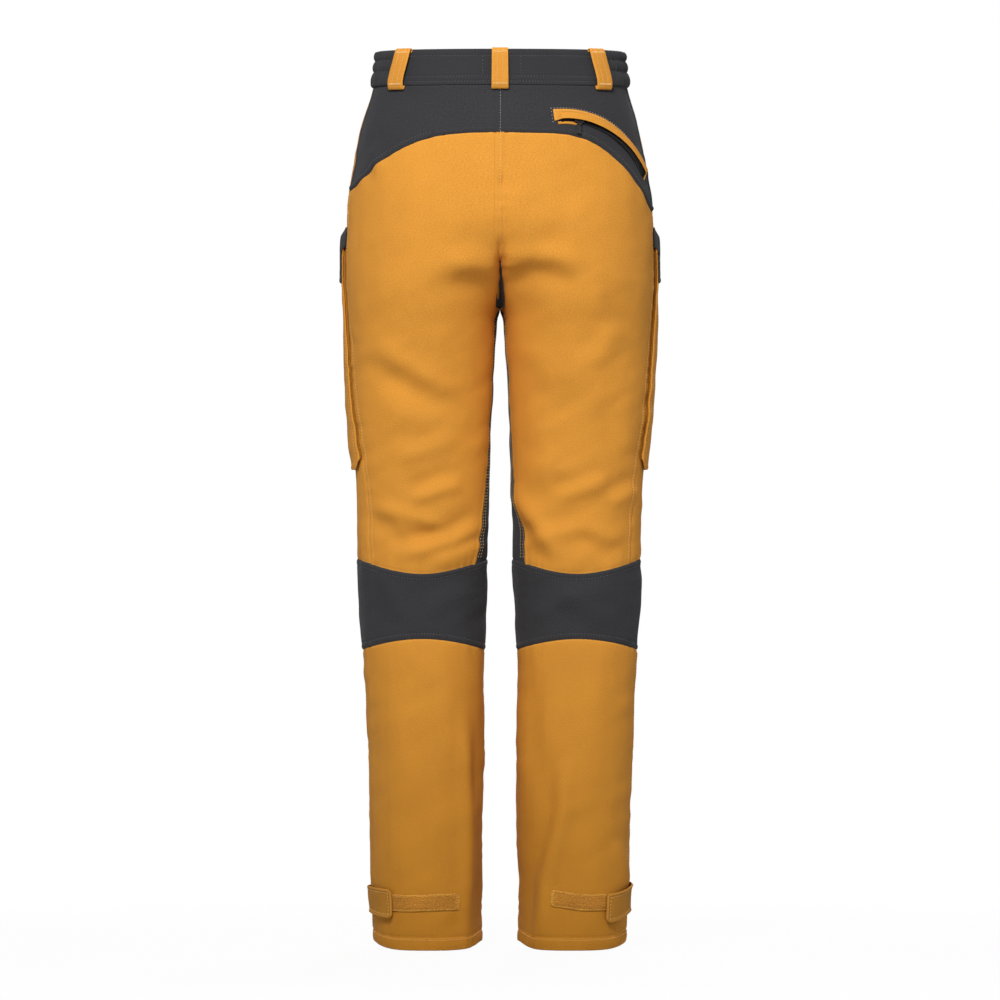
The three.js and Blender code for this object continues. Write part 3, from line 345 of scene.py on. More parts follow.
def cloth_point(sign, angle, z, out=0.0):
    """A point of the hung cloth, in mm, and the way it faces."""
    p = block(angle, z)
    n = outward(block, angle, z)
    p = p + n * (out + drape(sign, angle, z, p))[..., None]
    # Between the thighs, the seat is drawn in along its centre seam.
    behind = smooth((-np.sin(np.radians(angle)) - 0.05) / 0.2)
    behind = behind * smooth((-z - 214) / 50) * smooth((z + 380) / 60)
    p[..., 1] += 15 * behind * np.exp(-(p[..., 0] / 4.5) ** 2)
    p[..., 2] += hem_rise(angle, z)
    p[..., 0] = np.maximum(p[..., 0], 0.06) * sign
    n = n.copy()
    n[..., 0] *= sign
    return p, n


OVER = [0, 0.5, 1.5, 3, 4.7, 6.5, 8.2, 11, 15]
UNDER = [-7, -4.5, -2, 0.3, 2.5, 6, 11, 16]
BUTT = [0, 0.8, 2.5, 5, 9, 14]
CLOTH = 0.85  # thickness, mm


def spread(first, last, length, step):
    """Rows of a panel: the share of its length, and the distances in from its two ends."""
    count = max(2, int(round((length - first[-1] - last[-1]) / step)))
    share = np.concatenate([np.zeros(len(first)), np.linspace(0, 1, count + 1)[1:-1], np.ones(len(last))])
    from_first = np.concatenate([first, np.full(count - 1 + len(last), first[-1])])
    from_last = np.concatenate([np.full(len(first) + count - 1, last[-1]), last[::-1]])
    return share, np.array(from_first, float), np.array(from_last, float)


def rim(edge):
    return {"over": OVER, "butt": BUTT}.get(edge, UNDER)


def panel_grid(first, last, bottom, top, rims, width, height, step):
    """Angles and heights of a panel cut between four seams, and each point's distance from them."""
    cs, cf, cl = spread(rim(rims[0]), rim(rims[1]), width, step)
    rs, rb, rt = (v[:, None] for v in spread(rim(rims[2]), rim(rims[3]), height, step))
    z = mix(bottom(np.full(cs.shape, first(-500.0) * 0.5 + last(-500.0) * 0.5)), top(0 * cs), rs) * 1.0
    z = z + 0 * cs
    for _ in range(7):
        a, b = first(z), last(z)
        turn = np.sign(b - a)
        angle = mix(a + turn * cf / degree(a, z), b - turn * cl / degree(b, z), cs)
        low, high = bottom(angle), top(angle)
        mm = degree(angle, z)
        lean_low = np.hypot(1, np.clip((bottom(angle + 0.5) - bottom(angle - 0.5)) / mm, -2, 2))
        lean_high = np.hypot(1, np.clip((top(angle + 0.5) - top(angle - 0.5)) / mm, -2, 2))
        z = mix(low + rb * lean_low, high - rt * lean_high, rs)
    a, b = first(z), last(z)
    return angle, z, (
        abs(angle - a) * degree(a, z) * np.sign((angle - a) * (b - a)),
        abs(angle - b) * degree(b, z) * np.sign((b - angle) * (b - a)),
        (z - bottom(angle)) / lean_low, (top(angle) - z) / lean_high)


def seam_heights(away, rims, z, welt=0.55):
    """Offsets of a panel's outer and inner face: tucked rims go down, folded rims are padded."""
    out = np.zeros(away[0].shape)
    low = np.zeros(away[0].shape)
    for d, edge in zip(away, rims):
        if edge == "over":
            out = out + welt * np.exp(-((d - 3) / 2.4) ** 2) - 0.5 * np.exp(-(d / 0.55) ** 2)
            out = out - 0.35 * np.exp(-((d - 6.5) / 1.0) ** 2)
        elif not isinstance(edge, str):
            depth = edge(z) if callable(edge) else edge
            low = np.maximum(low, depth * smooth((3.0 - d) / 6))
    return out - low, -low - CLOTH


def pair(a, b):
    return np.stack(np.broadcast_arrays(a, b), -1)


def show(name, data):
    """A new object in the scene."""
    made = bpy.data.objects.new(name, data)
    bpy.context.scene.collection.objects.link(made)
    return made


def quads(index):
    a, b, c, d = index[:-1, :-1], index[:-1, 1:], index[1:, 1:], index[1:, :-1]
    return np.stack([a, b, c, d], -1).reshape(-1, 4)


def plate(name, outer, inner, uv, wear, material, ring=False):
    """A closed thin piece from its two faces, which are grids of points in mm."""
    rows, cols = outer.shape[:2]
    points = np.concatenate([outer.reshape(-1, 3), inner.reshape(-1, 3)]) * 0.001
    index = np.arange(rows * cols).reshape(rows, cols)
    if ring:
        index = np.concatenate([index, index[:, :1]], 1)
    half = rows * cols
    front = quads(index)
    faces = [front, front[:, [0, 3, 2, 1]] + half]

    def wall(line):
        return np.stack([line[1:], line[:-1], line[:-1] + half, line[1:] + half], -1)

    faces += [wall(index[0]), wall(index[-1][::-1])]
    if not ring:
        faces += [wall(index[:, 0][::-1]), wall(index[:, -1])]
    faces = np.concatenate(faces)
    p = points[faces]
    volume = np.einsum("ij,ij->i", p[:, 0], np.cross(p[:, 1], p[:, 2]) + np.cross(p[:, 2], p[:, 3])).sum()
    if volume < 0:
        faces = faces[:, ::-1]
    mesh = bpy.data.meshes.new(name)
    mesh.from_pydata(points.tolist(), [], faces.tolist())
    mesh.polygons.foreach_set("use_smooth", np.ones(len(mesh.polygons), bool))
    corner = np.zeros(len(mesh.loops), int)
    mesh.loops.foreach_get("vertex_index", corner)
    flat_uv = np.tile(np.broadcast_to(uv, (rows, cols, 2)).reshape(-1, 2), (2, 1)) * 0.001
    mesh.uv_layers.new(name="cloth").data.foreach_set("uv", flat_uv[corner].astype(np.float32).ravel())
    worn = np.tile(np.broadcast_to(wear, (rows, cols)).ravel(), 2).astype(np.float32)
    mesh.attributes.new("wear", "FLOAT", "POINT").data.foreach_set("value", worn)
    mesh.materials.append(material)
    return show(name, mesh)


def join(piece, body):
    """Fixes a piece to a body or, given a leg's sign, bakes its place into its mesh."""
    if isinstance(body, str):
        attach(piece, body)
    else:
        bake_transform(piece)


def fit(piece, grid, body, stands_for=None):
    """Hides the part a sheet stands for, joins the sheet, and works out the width, length and area of the grid it was
    made from.
    """
    if stands_for:
        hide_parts(stands_for)
    join(piece, body)
    across = np.linalg.norm(np.diff(grid, axis=1), axis=-1)
    along = np.linalg.norm(np.diff(grid, axis=0), axis=-1)
    width, length = (max(round(v.max() * 0.001, 4), 0.0101) for v in (across.sum(1), along.sum(0)))
    sides = np.cross(grid[1:, 1:] - grid[:-1, :-1], grid[1:, :-1] - grid[:-1, 1:])
    area = 0.5 * np.linalg.norm(sides, axis=-1).sum() * 1e-6
    area = round(min(max(area, 0.31 * width * length), width * length), 7)


def wire(tree, made, sockets):
    """Sets a node's inputs, each to a value or to the output that feeds it."""
    for key, value in dict(sockets).items():
        if isinstance(value, bpy.types.NodeSocket):
            tree.links.new(value, made.inputs[key])
        else:
            made.inputs[key].default_value = value
    return made


def node(tree, kind, out=None, sockets=(), **settings):
    """A new node, or the one of its outputs that is asked for."""
    made = tree.nodes.new(kind)
    made.location = 190 * len(tree.nodes), -220 * (len(tree.nodes) % 4)
    for key, value in settings.items():
        setattr(made, key, value)
    wire(tree, made, sockets)
    return made if out is None else made.outputs[out]


def blended(tree, a, b, share, blend_type="MIX"):
    return node(tree, "ShaderNodeMix", "Result", data_type="RGBA", blend_type=blend_type,
                sockets={"A": a, "B": b, "Factor": share})


def ranged(tree, value, **ends):
    ends = {key.replace("_", " ").title(): end for key, end in ends.items()}
    return node(tree, "ShaderNodeMapRange", "Result", {"Value": value, **ends})


def new_material(name):
    material = bpy.data.materials.new(name)
    material.use_nodes = True
    return material, material.node_tree, material.node_tree.nodes["Principled BSDF"]


def woven(name, light, dark, pitch, grain, rough, sheen, tint, weave=0.00014, crumple=0.00022,
          twill=False, fade=None):
    """Cloth: crossing threads, an uneven dye, fine crumples, rubbed rims and, given a fade, painted shade lower down.
    """
    material, tree, shader = new_material(name)
    uv = node(tree, "ShaderNodeUVMap", "UV", uv_map="cloth")
    place = node(tree, "ShaderNodeTexCoord", "Object")
    threads = [node(tree, "ShaderNodeTexWave", "Fac", bands_direction=direction, sockets={
        "Scale": 314.16 / pitch, "Distortion": 1.2, "Detail": 1.0, "Detail Scale": 1.5, "Vector": uv})
        for direction in ("X", "DIAGONAL" if twill else "Y")]
    cross = node(tree, "ShaderNodeMath", 0, {0: threads[0], 1: threads[1]}, operation="MULTIPLY")
    speck = node(tree, "ShaderNodeTexNoise", "Fac", {
        "Scale": 1 / grain, "Detail": 2.5, "Roughness": 0.65, "Vector": uv})
    cloud = node(tree, "ShaderNodeTexNoise", "Fac", {
        "Scale": 16, "Detail": 4, "Roughness": 0.6, "Vector": place})
    crease = node(tree, "ShaderNodeTexNoise", "Fac", {
        "Scale": 62, "Detail": 3, "Distortion": 0.6, "Vector": place})
    uneven = ranged(tree, cloud, to_min=0.3, to_max=0.7)
    dye = node(tree, "ShaderNodeMath", 0, {0: speck, 1: 1.5, 2: uneven}, operation="MULTIPLY_ADD")
    colour = blended(tree, (*dark, 1), (*light, 1), ranged(tree, dye, from_min=0.95, from_max=1.55))
    if fade:
        # Lower down, the cloth is painted darker: painted shade for the light falling off towards the hems.
        height = node(tree, "ShaderNodeSeparateXYZ", "Z", {"Vector": place})
        down = ranged(tree, height, from_min=-1.06, from_max=-0.58)
        colour = blended(tree, colour, blended(tree, (*fade, 1), (1, 1, 1, 1), down), 1.0, "MULTIPLY")
    worn = node(tree, "ShaderNodeAttribute", "Fac", attribute_name="wear")
    gate = node(tree, "ShaderNodeMath", 0, {0: worn, 1: speck}, operation="MULTIPLY")
    rubbed = (*(min(1, c * 1.25 + 0.015) for c in light), 1)
    normal = {}
    for source, distance in ((crease, crumple), (speck, 0.00012), (cross, weave)):
        normal = {"Normal": node(tree, "ShaderNodeBump", "Normal", {
            "Strength": 0.9, "Distance": distance, "Height": source, **normal})}
    wire(tree, shader, {
        "Base Color": blended(tree, colour, rubbed, gate), **normal,
        "Roughness": ranged(tree, cloud, to_min=rough - 0.07, to_max=rough + 0.07),
        "Sheen Weight": sheen, "Sheen Roughness": 0.5, "Sheen Tint": (*tint, 1),
        "Specular IOR Level": 0.25})
    return material


def panel(name, sign, first, last, bottom, top, rims, width, height, material, stands_for, body,
          step=3.6, welt=0.55):
    """A piece of cloth cut between four seams and hung on the body."""
    angle, z, away = panel_grid(first, last, bottom, top, rims, width, height, step)
    over, under = seam_heights(away, rims, z, welt)
    outer, n = cloth_point(sign, angle, z, over)
    inner = outer + n * (under - over)[..., None]
    inner[..., 0] = np.maximum(inner[..., 0] * sign, 0.06) * sign
    wear = 0.9 * np.exp(-(np.minimum.reduce(away) / 0.8) ** 2)
    made = plate(name, outer, inner, pair(np.radians(angle) * 82, z), wear, material)
    fit(made, outer, body, stands_for)


def fixed(value):
    return lambda t: value + 0 * t


# The ochre's fade is painted shade: it darkens the cloth towards the hems, where the light falls off.
ochre = woven("ochre_cloth", (0.83, 0.350, 0.043), (0.63, 0.256, 0.029), 1.05, 0.0013, 0.84, 0.06,
              (1.0, 0.7, 0.3), fade=(0.67, 0.66, 0.40))
for side, sign in SIDES.items():
    panel(f"back_thigh_cloth_{side}", sign, centre_back, side_seam(side), knee_top, yoke_edge(side),
          ("over", "over", 1.0, 1.0), 190, 510, ochre, f"back_panel_{side}", sign)

# ---- Yokes ---------------------------------------------------------------------------------------
# Two charcoal stretch-cloth halves over the top of the seat. Each curved lower edge is folded under
# and lapped over the seat, with one row of thread 6.5 mm in from the fold.

charcoal = woven("charcoal_cloth", (0.043, 0.043, 0.0465), (0.027, 0.027, 0.0295), 0.8, 0.0017, 0.88,
                 0.07, (0.8, 0.8, 0.85), weave=0.00012, twill=True)


def waist_block(angle, z):
    """The joined waist: the angle turns about the middle of the body, 0 right, -90 the back."""
    angle, z = np.broadcast_arrays(np.asarray(angle, float), np.asarray(z, float))
    c, s = np.cos(np.radians(angle)), np.sin(np.radians(angle))
    depth = np.where(s < 0, back_at(-z), front_at(-z))
    r = (abs(c / outer_at(-z)) ** TORSO_ROUND + abs(s / depth) ** TORSO_ROUND) ** (-1 / TORSO_ROUND)
    return np.stack([r * c, r * s, z], -1)


def waist_dip(y):
    return FRONT_DIP * np.maximum(0, y / front_at(0.0)) ** 2


def band_edge(angle):
    y = block(angle, -BAND_HEIGHT)[..., 1]
    return -waist_dip(y * front_at(0.0) / front_at(float(BAND_HEIGHT))) - BAND_HEIGHT


for side, sign in SIDES.items():
    panel(f"yoke_cloth_{side}", sign, centre_back, side_seam(side), yoke_edge(side), band_edge,
          ("butt", "over", "over", 1.0), 200, 80, charcoal, f"yoke_{side}", "trousers",
          3.2, 1.2)

# ---- Front panels and hip pieces -----------------------------------------------------------------
# A front panel a side, cut away at the hand pocket's slanted mouth, with the hip piece behind the
# mouth. The mouth's edge is folded and stitched, and the fly's edges are 7 mm apart over the zip.

FLY_GAP = 7
FLY_BOTTOM = -(FRONT_DIP + BAND_HEIGHT + 130)
POCKET_END, POCKET_SWEEP = 195, 52
CENTRE_FRONT = np.minimum(
    angle_at(mix(0.125, FLY_GAP, smooth((LEVELS - FLY_BOTTOM) / 14)), LEVELS, 1), inner_front(LEVELS))


def centre_front(z):
    return np.interp(z, LEVELS, CENTRE_FRONT)


def pocket_mouth(side):
    start = -(FRONT_DIP + BAND_HEIGHT)
    return lambda z: side_seam(side)(z) + POCKET_SWEEP * np.maximum(
        0, (z + POCKET_END) / (start + POCKET_END))


def front_edge(side):
    """The front panel's rear rim: the pocket's mouth above, where no cloth is tucked, then the seam."""
    def edge(z):
        angle = pocket_mouth(side)(z)
        return angle + smooth((z + POCKET_END) / 6) * 7 / degree(angle, z)
    return edge


def tucked_below_mouth(z):
    return 1 - smooth((z + POCKET_END + 4) / 8)


for side, sign in SIDES.items():
    panel(f"front_cloth_{side}", sign, front_edge(side), centre_front, knee_top, band_edge,
          (tucked_below_mouth, "over", 1.0, 1.0), 190, 540, ochre, f"front_panel_{side}", sign)
    panel(f"hip_cloth_{side}", sign, side_seam(side), pocket_mouth(side), fixed(-POCKET_END + 3),
          band_edge, (2.0, 1.4, "butt", 1.0), 60, 140, ochre, f"hip_piece_{side}", "trousers")

# ---- Inner-leg panels ----------------------------------------------------------------------------
# A narrow strip of the charcoal stretch cloth down each inner thigh, from the crotch to the knee,
# so that the crotch opens without a four-way seam. Its edges lie under the ochre panels.

RISE_ANGLES = np.linspace(-214, -132, 165)


def halved(low, high, times, above):
    """Halves the span between low and high, keeping the half whose lower end passes the test."""
    for _ in range(times):
        middle = (low + high) / 2
        passes = above(middle)
        low, high = np.where(passes, middle, low), np.where(passes, high, middle)
    return low, high


rise_low, rise_high = halved(np.full(RISE_ANGLES.shape, -(CROTCH + 60.0)),
                             np.full(RISE_ANGLES.shape, -CROTCH * 0.64), 32,
                             lambda z: block(RISE_ANGLES, z)[..., 0] > 0.125)
RISE_HEIGHTS = (rise_low + rise_high) / 2

for side, sign in SIDES.items():
    panel(f"inner_leg_cloth_{side}", sign, lambda z: inner_front(z) - 360, inner_back, knee_top,
          lambda a: np.interp(a, RISE_ANGLES, RISE_HEIGHTS), (1.0, 1.0, 1.0, 1.0), 60, 310, charcoal,
          f"inner_leg_panel_{side}", sign)

# ---- Knee panels ---------------------------------------------------------------------------------
# Charcoal stretch cloth behind each knee and a pre-bent ochre piece before it. Both are lapped over
# the thigh and the shin, and the charcoal is lapped over the ochre at the two side seams.

SHIN_SEAMS = -188, 8, 172  # inner, outer and inner again, degrees round the leg
for side, sign in SIDES.items():
    inner_seam, outer_seam, round_seam_end = map(fixed, SHIN_SEAMS)
    panel(f"knee_cloth_back_{side}", sign, inner_seam, outer_seam, knee_bottom, knee_top,
          ("over",) * 4, 250, 95, charcoal, f"knee_back_panel_{side}", sign,
          3.2, 0.7)
    panel(f"knee_cloth_front_{side}", sign, outer_seam, round_seam_end, knee_bottom, knee_top,
          (1.0, 1.0, "over", "over"), 200, 190, ochre, f"knee_front_panel_{side}", sign)

# ---- Shin panels and hems ------------------------------------------------------------------------
# A back and a front piece below each knee, joined at the sides. The leg ends in a turned hem, folded
# in twice and held by one row of thread that ropes the cloth a little.

HEM = 14
# The hem's profile, as offset and height, from its raw edge inside to its stitched edge outside.
hem_out, hem_up = np.array([
    (-2.0, 15), (-2.25, 13), (-2.4, 9), (-2.4, 4), (-2.2, 1.4), (-1.3, 0.25), (-0.3, 0.15),
    (0.35, 1.2), (0.6, 3.5), (0.6, 7), (0.5, 10.5), (0.35, 12.6), (0.1, 13.9), (-0.2, 14.2)]).T[..., None]

for side, sign in SIDES.items():
    for where, first, last, rims, size in (
            ("back", inner_seam, outer_seam, ("over", "over", 1.0, 1.0), 250),
            ("front", outer_seam, round_seam_end, (1.0, 1.0, 1.0, 1.0), 200)):
        panel(f"shin_cloth_{where}_{side}", sign, first, last, fixed(-OUTSEAM + HEM), knee_bottom, rims,
              size, 340, ochre, f"lower_{where}_panel_{side}", sign)
    angle = np.arange(0, 360, 2.0)[None, :] - 180 + 0 * hem_out
    level = -OUTSEAM + hem_up + 0 * angle
    arc = np.radians(angle) * 75
    rope = 0.35 * np.sin(2 * np.pi * (arc + 0.8 * level) / 9.0 + 1.5 * np.sin(arc / 31))
    rope = rope * np.exp(-((level + OUTSEAM - 8) / 5) ** 2) * (hem_out > 0)
    outer = cloth_point(sign, angle, level, hem_out + rope)[0]
    inner = cloth_point(sign, angle, level, hem_out + np.where(hem_out > -0.8, -0.6, 0.5) + 0 * rope)[0]
    outer[..., 2] = level + hem_rise(angle, level)
    inner[..., 2] = np.clip(level, -OUTSEAM + 0.75, -OUTSEAM + 13.6) + hem_rise(angle, level)
    made = plate(f"hem_fold_{side}", outer, inner, pair(arc, level), 0.5 * (abs(hem_up) < 1.5), ochre, True)
    fit(made, np.concatenate([outer, outer[:, :1]], 1),
        f"{side}_shin", f"hem_{side}")

# ---- Thread --------------------------------------------------------------------------------------
# Lockstitch rows in bonded thread: tonal on the ochre cloth and pale grey on the charcoal. Each
# visible stitch is a short sunk bead of thread, 3 mm from the next.


def growing_tree(name, inputs, output):
    """An empty geometry tree with named inputs and one output."""
    tree = bpy.data.node_groups.new(name, "GeometryNodeTree")
    for socket, kind in inputs.items():
        tree.interface.new_socket(socket, in_out="INPUT", socket_type="NodeSocket" + kind)
    tree.interface.new_socket(output, in_out="OUTPUT", socket_type="NodeSocketGeometry")
    return tree, node(tree, "NodeGroupInput").outputs


def beads(tree, points, turn, size, material, output):
    """Ends a tree: small balls at points, turned and scaled, made real and given their material."""
    ball = node(tree, "GeometryNodeMeshIcoSphere", "Mesh", {"Subdivisions": 1, "Radius": 0.5})
    size = node(tree, "ShaderNodeCombineXYZ", "Vector", dict(zip("XYZ", size)))
    made = node(tree, "GeometryNodeInstanceOnPoints", "Instances", {
        "Points": points, "Instance": ball, "Rotation": turn, "Scale": size})
    for kind in ("RealizeInstances", "SetShadeSmooth", "SetMaterial"):
        made = node(tree, "GeometryNode" + kind, "Geometry", {"Geometry": made})
    wire(tree, made.node, {"Material": material})
    node(tree, "NodeGroupOutput", None, {output: made})


def stitch_tree():
    """Beads of thread along edges that carry the cloth's facing in the attribute "facing"."""
    tree, given = growing_tree("lockstitch", {
        "Rows": "Geometry", "Spacing": "Float", "Length": "Float", "Width": "Float", "Height": "Float",
        "Thread": "Material"}, "Stitches")
    curve = node(tree, "GeometryNodeMeshToCurve", "Curve", {"Mesh": given["Rows"]})
    evenly = node(tree, "GeometryNodeResampleCurve", "Curve", mode="LENGTH", sockets={
        "Curve": curve, "Length": given["Spacing"]})
    facing = node(tree, "GeometryNodeInputNamedAttribute", "Attribute", {"Name": "facing"},
                  data_type="FLOAT_VECTOR")
    turn = node(tree, "FunctionNodeAxesToRotation", "Rotation", primary_axis="X", secondary_axis="Z",
                sockets={"Primary Axis": node(tree, "GeometryNodeInputTangent", "Tangent"),
                         "Secondary Axis": facing})
    size = given["Length"], given["Width"], given["Height"]
    beads(tree, evenly, turn, size, given["Thread"], "Stitches")
    return tree


def grown(tree, name, points, edges, faces, facings, values):
    """The plain mesh that a tree makes from a bare mesh, as a new object."""
    mesh = bpy.data.meshes.new(name + "_base")
    mesh.from_pydata(points.tolist(), edges, faces)
    if facings is not None:
        mesh.attributes.new("facing", "FLOAT_VECTOR", "POINT").data.foreach_set(
            "vector", facings.astype(np.float32).ravel())
    source = show(name + "_base", mesh)
    modifier = source.modifiers.new("made", "NODES")
    modifier.node_group = tree
    for socket in tree.interface.items_tree:
        if socket.in_out == "INPUT" and socket.name in values:
            modifier[socket.identifier] = values[socket.name]
    bpy.context.view_layer.update()
    mesh = bpy.data.meshes.new_from_object(source.evaluated_get(bpy.context.evaluated_depsgraph_get()))
    source.modifiers.clear()
    bpy.data.objects.remove(source)
    mesh.name = name
    return show(name, mesh)


def thread_material(name, colour, dark):
    material, tree, shader = new_material(name)
    place = node(tree, "ShaderNodeTexCoord", "Object")
    speck = node(tree, "ShaderNodeTexNoise", "Fac", {"Scale": 900, "Vector": place})
    wire(tree, shader, {
        "Base Color": blended(tree, (*dark, 1), (*colour, 1), speck), "Roughness": 0.55,
        "Normal": node(tree, "ShaderNodeBump", "Normal", {"Distance": 0.0001, "Height": speck}),
        "Sheen Weight": 0.1})
    return material


lockstitch = stitch_tree()
tonal_thread = thread_material("tonal_thread", (0.95, 0.66, 0.28), (0.78, 0.43, 0.13))
grey_thread = thread_material("grey_thread", (0.50, 0.50, 0.50), (0.30, 0.30, 0.30))
dark_thread = thread_material("dark_thread", (0.135, 0.135, 0.137), (0.07, 0.07, 0.072))


def sew(name, rows, thread, body, spacing=3.6, length=2.0, width=0.85, height=0.7):
    """One mesh of stitches along rows, each a pair of points in mm and facings."""
    rows = [(p.reshape(-1, 3), n.reshape(-1, 3)) for p, n in rows]
    edges, start = [], 0
    for p, _ in rows:
        edges += [(start + i, start + i + 1) for i in range(len(p) - 1)]
        start += len(p)
    points, facings = (np.concatenate(part) for part in zip(*rows))
    join(grown(lockstitch, name, points * 0.001, edges, [], facings, {
        "Spacing": spacing * 0.001, "Length": length * 0.001, "Width": width * 0.001,
        "Height": height * 0.001, "Thread": thread}), body)


def down_seam(sign, line, high, low, inward, out=0.12):
    """A row along a seam down the leg, a distance in from it (towards rising angles if positive)."""
    z = np.arange(high, low, -2.5)
    angle = line(z)
    return cloth_point(sign, angle + inward / degree(angle, z), z, out)


def round_seam(sign, edge, first, last, up, out=0.12):
    """A row along a seam around the leg, a distance above it."""
    angle = np.arange(first, last, 1.4)
    mm = degree(angle, edge(angle))
    lean = np.hypot(1, np.clip((edge(angle + 0.5) - edge(angle - 0.5)) / mm, -2, 2))
    return cloth_point(sign, angle, edge(angle) + up * lean, out)


def knee_rows(sign, first, last):
    return [round_seam(sign, edge, first, last, way * up) for up in (6.2, 2.0)
            for edge, way in ((knee_top, -1), (knee_bottom, 1))]


def turn_to(across, z, facing=-1):
    """The angle about the leg of a place behind (or before, facing 1), by how far across it is."""
    low, _ = halved(np.zeros(across.shape), np.full(across.shape, 180.0), 30,
                    lambda turn: block(facing * turn, z)[..., 0] > across)
    return facing * low


def body_line(x, z, out, facing=-1):
    """Points on the hung cloth behind or before, from across and height."""
    x, z = np.asarray(x, float), np.asarray(z, float)
    angle = turn_to(np.maximum(abs(x), 0.2), z, facing)
    (p, n), (left, left_n) = (cloth_point(sign, angle, z, out) for sign in (1, -1))
    mirror = (x < 0)[..., None]
    p, n = np.where(mirror, left, p), np.where(mirror, left_n, n)
    p[..., 0] = x
    return p, n


for side, sign in SIDES.items():
    tail = float(yoke_edge(side)(np.array([-4.0]))[0])
    rows = [down_seam(sign, line, high, low, inward) for line, high, low, inward in (
        (side_seam(side), tail - 3, -594, -1.6), (side_seam(side), tail - 3, -594, -6.6),
        (inner_back, -312, -594, -1.8), (inner_back, -312, -594, -6.8),
        (pocket_mouth(side), -64, -190, 2.2), (pocket_mouth(side), -64, -190, 8.0),
        (centre_front, -300, -590, -2.0))]
    sew(f"leg_thread_{side}", rows, tonal_thread, sign)
    sew(f"knee_thread_back_{side}", knee_rows(sign, -187, 7), dark_thread, sign)
    rows = [down_seam(sign, fixed(at), high, -1036, inward) for at, high, inward in (
        (8, -706, -1.8), (8, -706, -6.8), (-188, -702, 1.8), (-188, -702, 6.8))]
    sew(f"shin_thread_{side}", knee_rows(sign, 10, 170) + rows, tonal_thread, sign)
    ring = np.arange(-180, 181, 1.6)
    rows = [cloth_point(sign, ring, -OUTSEAM + 12.4 + 0 * ring, 0.5)]
    sew(f"hem_thread_{side}", rows, tonal_thread, f"{side}_shin")
    rows = [round_seam(sign, yoke_edge(side), -90, -12, 6.5)]
    sew(f"yoke_thread_{side}", rows, dark_thread, "trousers")

# The centre seams are felled to the right: the folded edge shows as a low strip with a row in it.
# Between the legs a charcoal strip, widening downwards, covers the point where four panels meet.
fell_across = np.array([-6.5, -6.2, -4.5, -1.5, 0.6, 2.0, 3.0, 3.3])
fell_rise = np.array([-0.2, 0.2, 0.45, 0.62, 0.5, 0.75, 0.6, 0.15])
for name, top, bottom, facing, material, thread, under in (
        ("yoke", -44, -97.4, -1, charcoal, grey_thread, "yoke"),
        ("seat", -98.2, -248, -1, ochre, tonal_thread, "back_thigh"),
        ("crotch", -247, -304, -1, charcoal, dark_thread, "back_thigh"),
        ("front", -193, -304, 1, ochre, tonal_thread, "front")):
    z = np.arange(top, bottom, -3.0)[:, None]
    across = fell_across + 0 * z
    if name == "crotch":
        across = (across + 1.6) * mix(0.35, 1.0, smooth((-250 - z) / 50))
    z = z + 0 * across
    outer, inner = (body_line(across, z, out + 0 * z, facing)[0] for out in (fell_rise, -0.3))
    made = plate(f"centre_fell_{name}", outer, inner, pair(across, z), 0.6 * (across > 2.5), material)
    fit(made, outer, "trousers")
    row = np.arange(top, bottom, -2.5)
    row = body_line(0.5 + 0 * row, row, 0.75 + 0 * row, facing)
    sew(f"centre_thread_{name}", [row], thread, "trousers")

# ---- Waistband -----------------------------------------------------------------------------------
# A doubled charcoal band, 42 mm high: a flat back length, two side lengths gathered over elastic into
# three puffed channels, and two front lengths. One row runs near its top and two near its foot.

CLOSURE = 20 / 99 * 180 / np.pi
CHANNELS = (0, 11.5, 24.5, 42)


def waist_point(angle, z, out=0.0):
    p, n = waist_block(angle, z), outward(waist_block, angle, z)
    return p + n * np.asarray(out, float)[..., None], n


def wrap(name, angle, z, over, under, round_mm, wear, material, body, stands_for):
    """A sheet wrapped round the waist between two distances from the bare waist."""
    outer, inner = (waist_point(angle, z, out + 0 * z)[0] for out in (over, under))
    made = plate(name, outer, inner, pair(np.radians(angle) * round_mm, z), wear, material)
    fit(made, outer, body, stands_for)


def waist_top(angle):
    return -waist_dip(waist_block(angle, 0.0)[..., 1])


def hand_waved(angle, seed):
    return 0.35 * np.sin(np.radians(angle) * 9 + seed) + 0.2 * np.sin(np.radians(angle) * 23 + 2 * seed)


def waist_row(first, last, down, out=1.45):
    angle = np.linspace(first, last, max(3, int(abs(last - first) * 1.2)))
    return waist_point(angle, waist_top(angle) - down, out + 0 * angle)


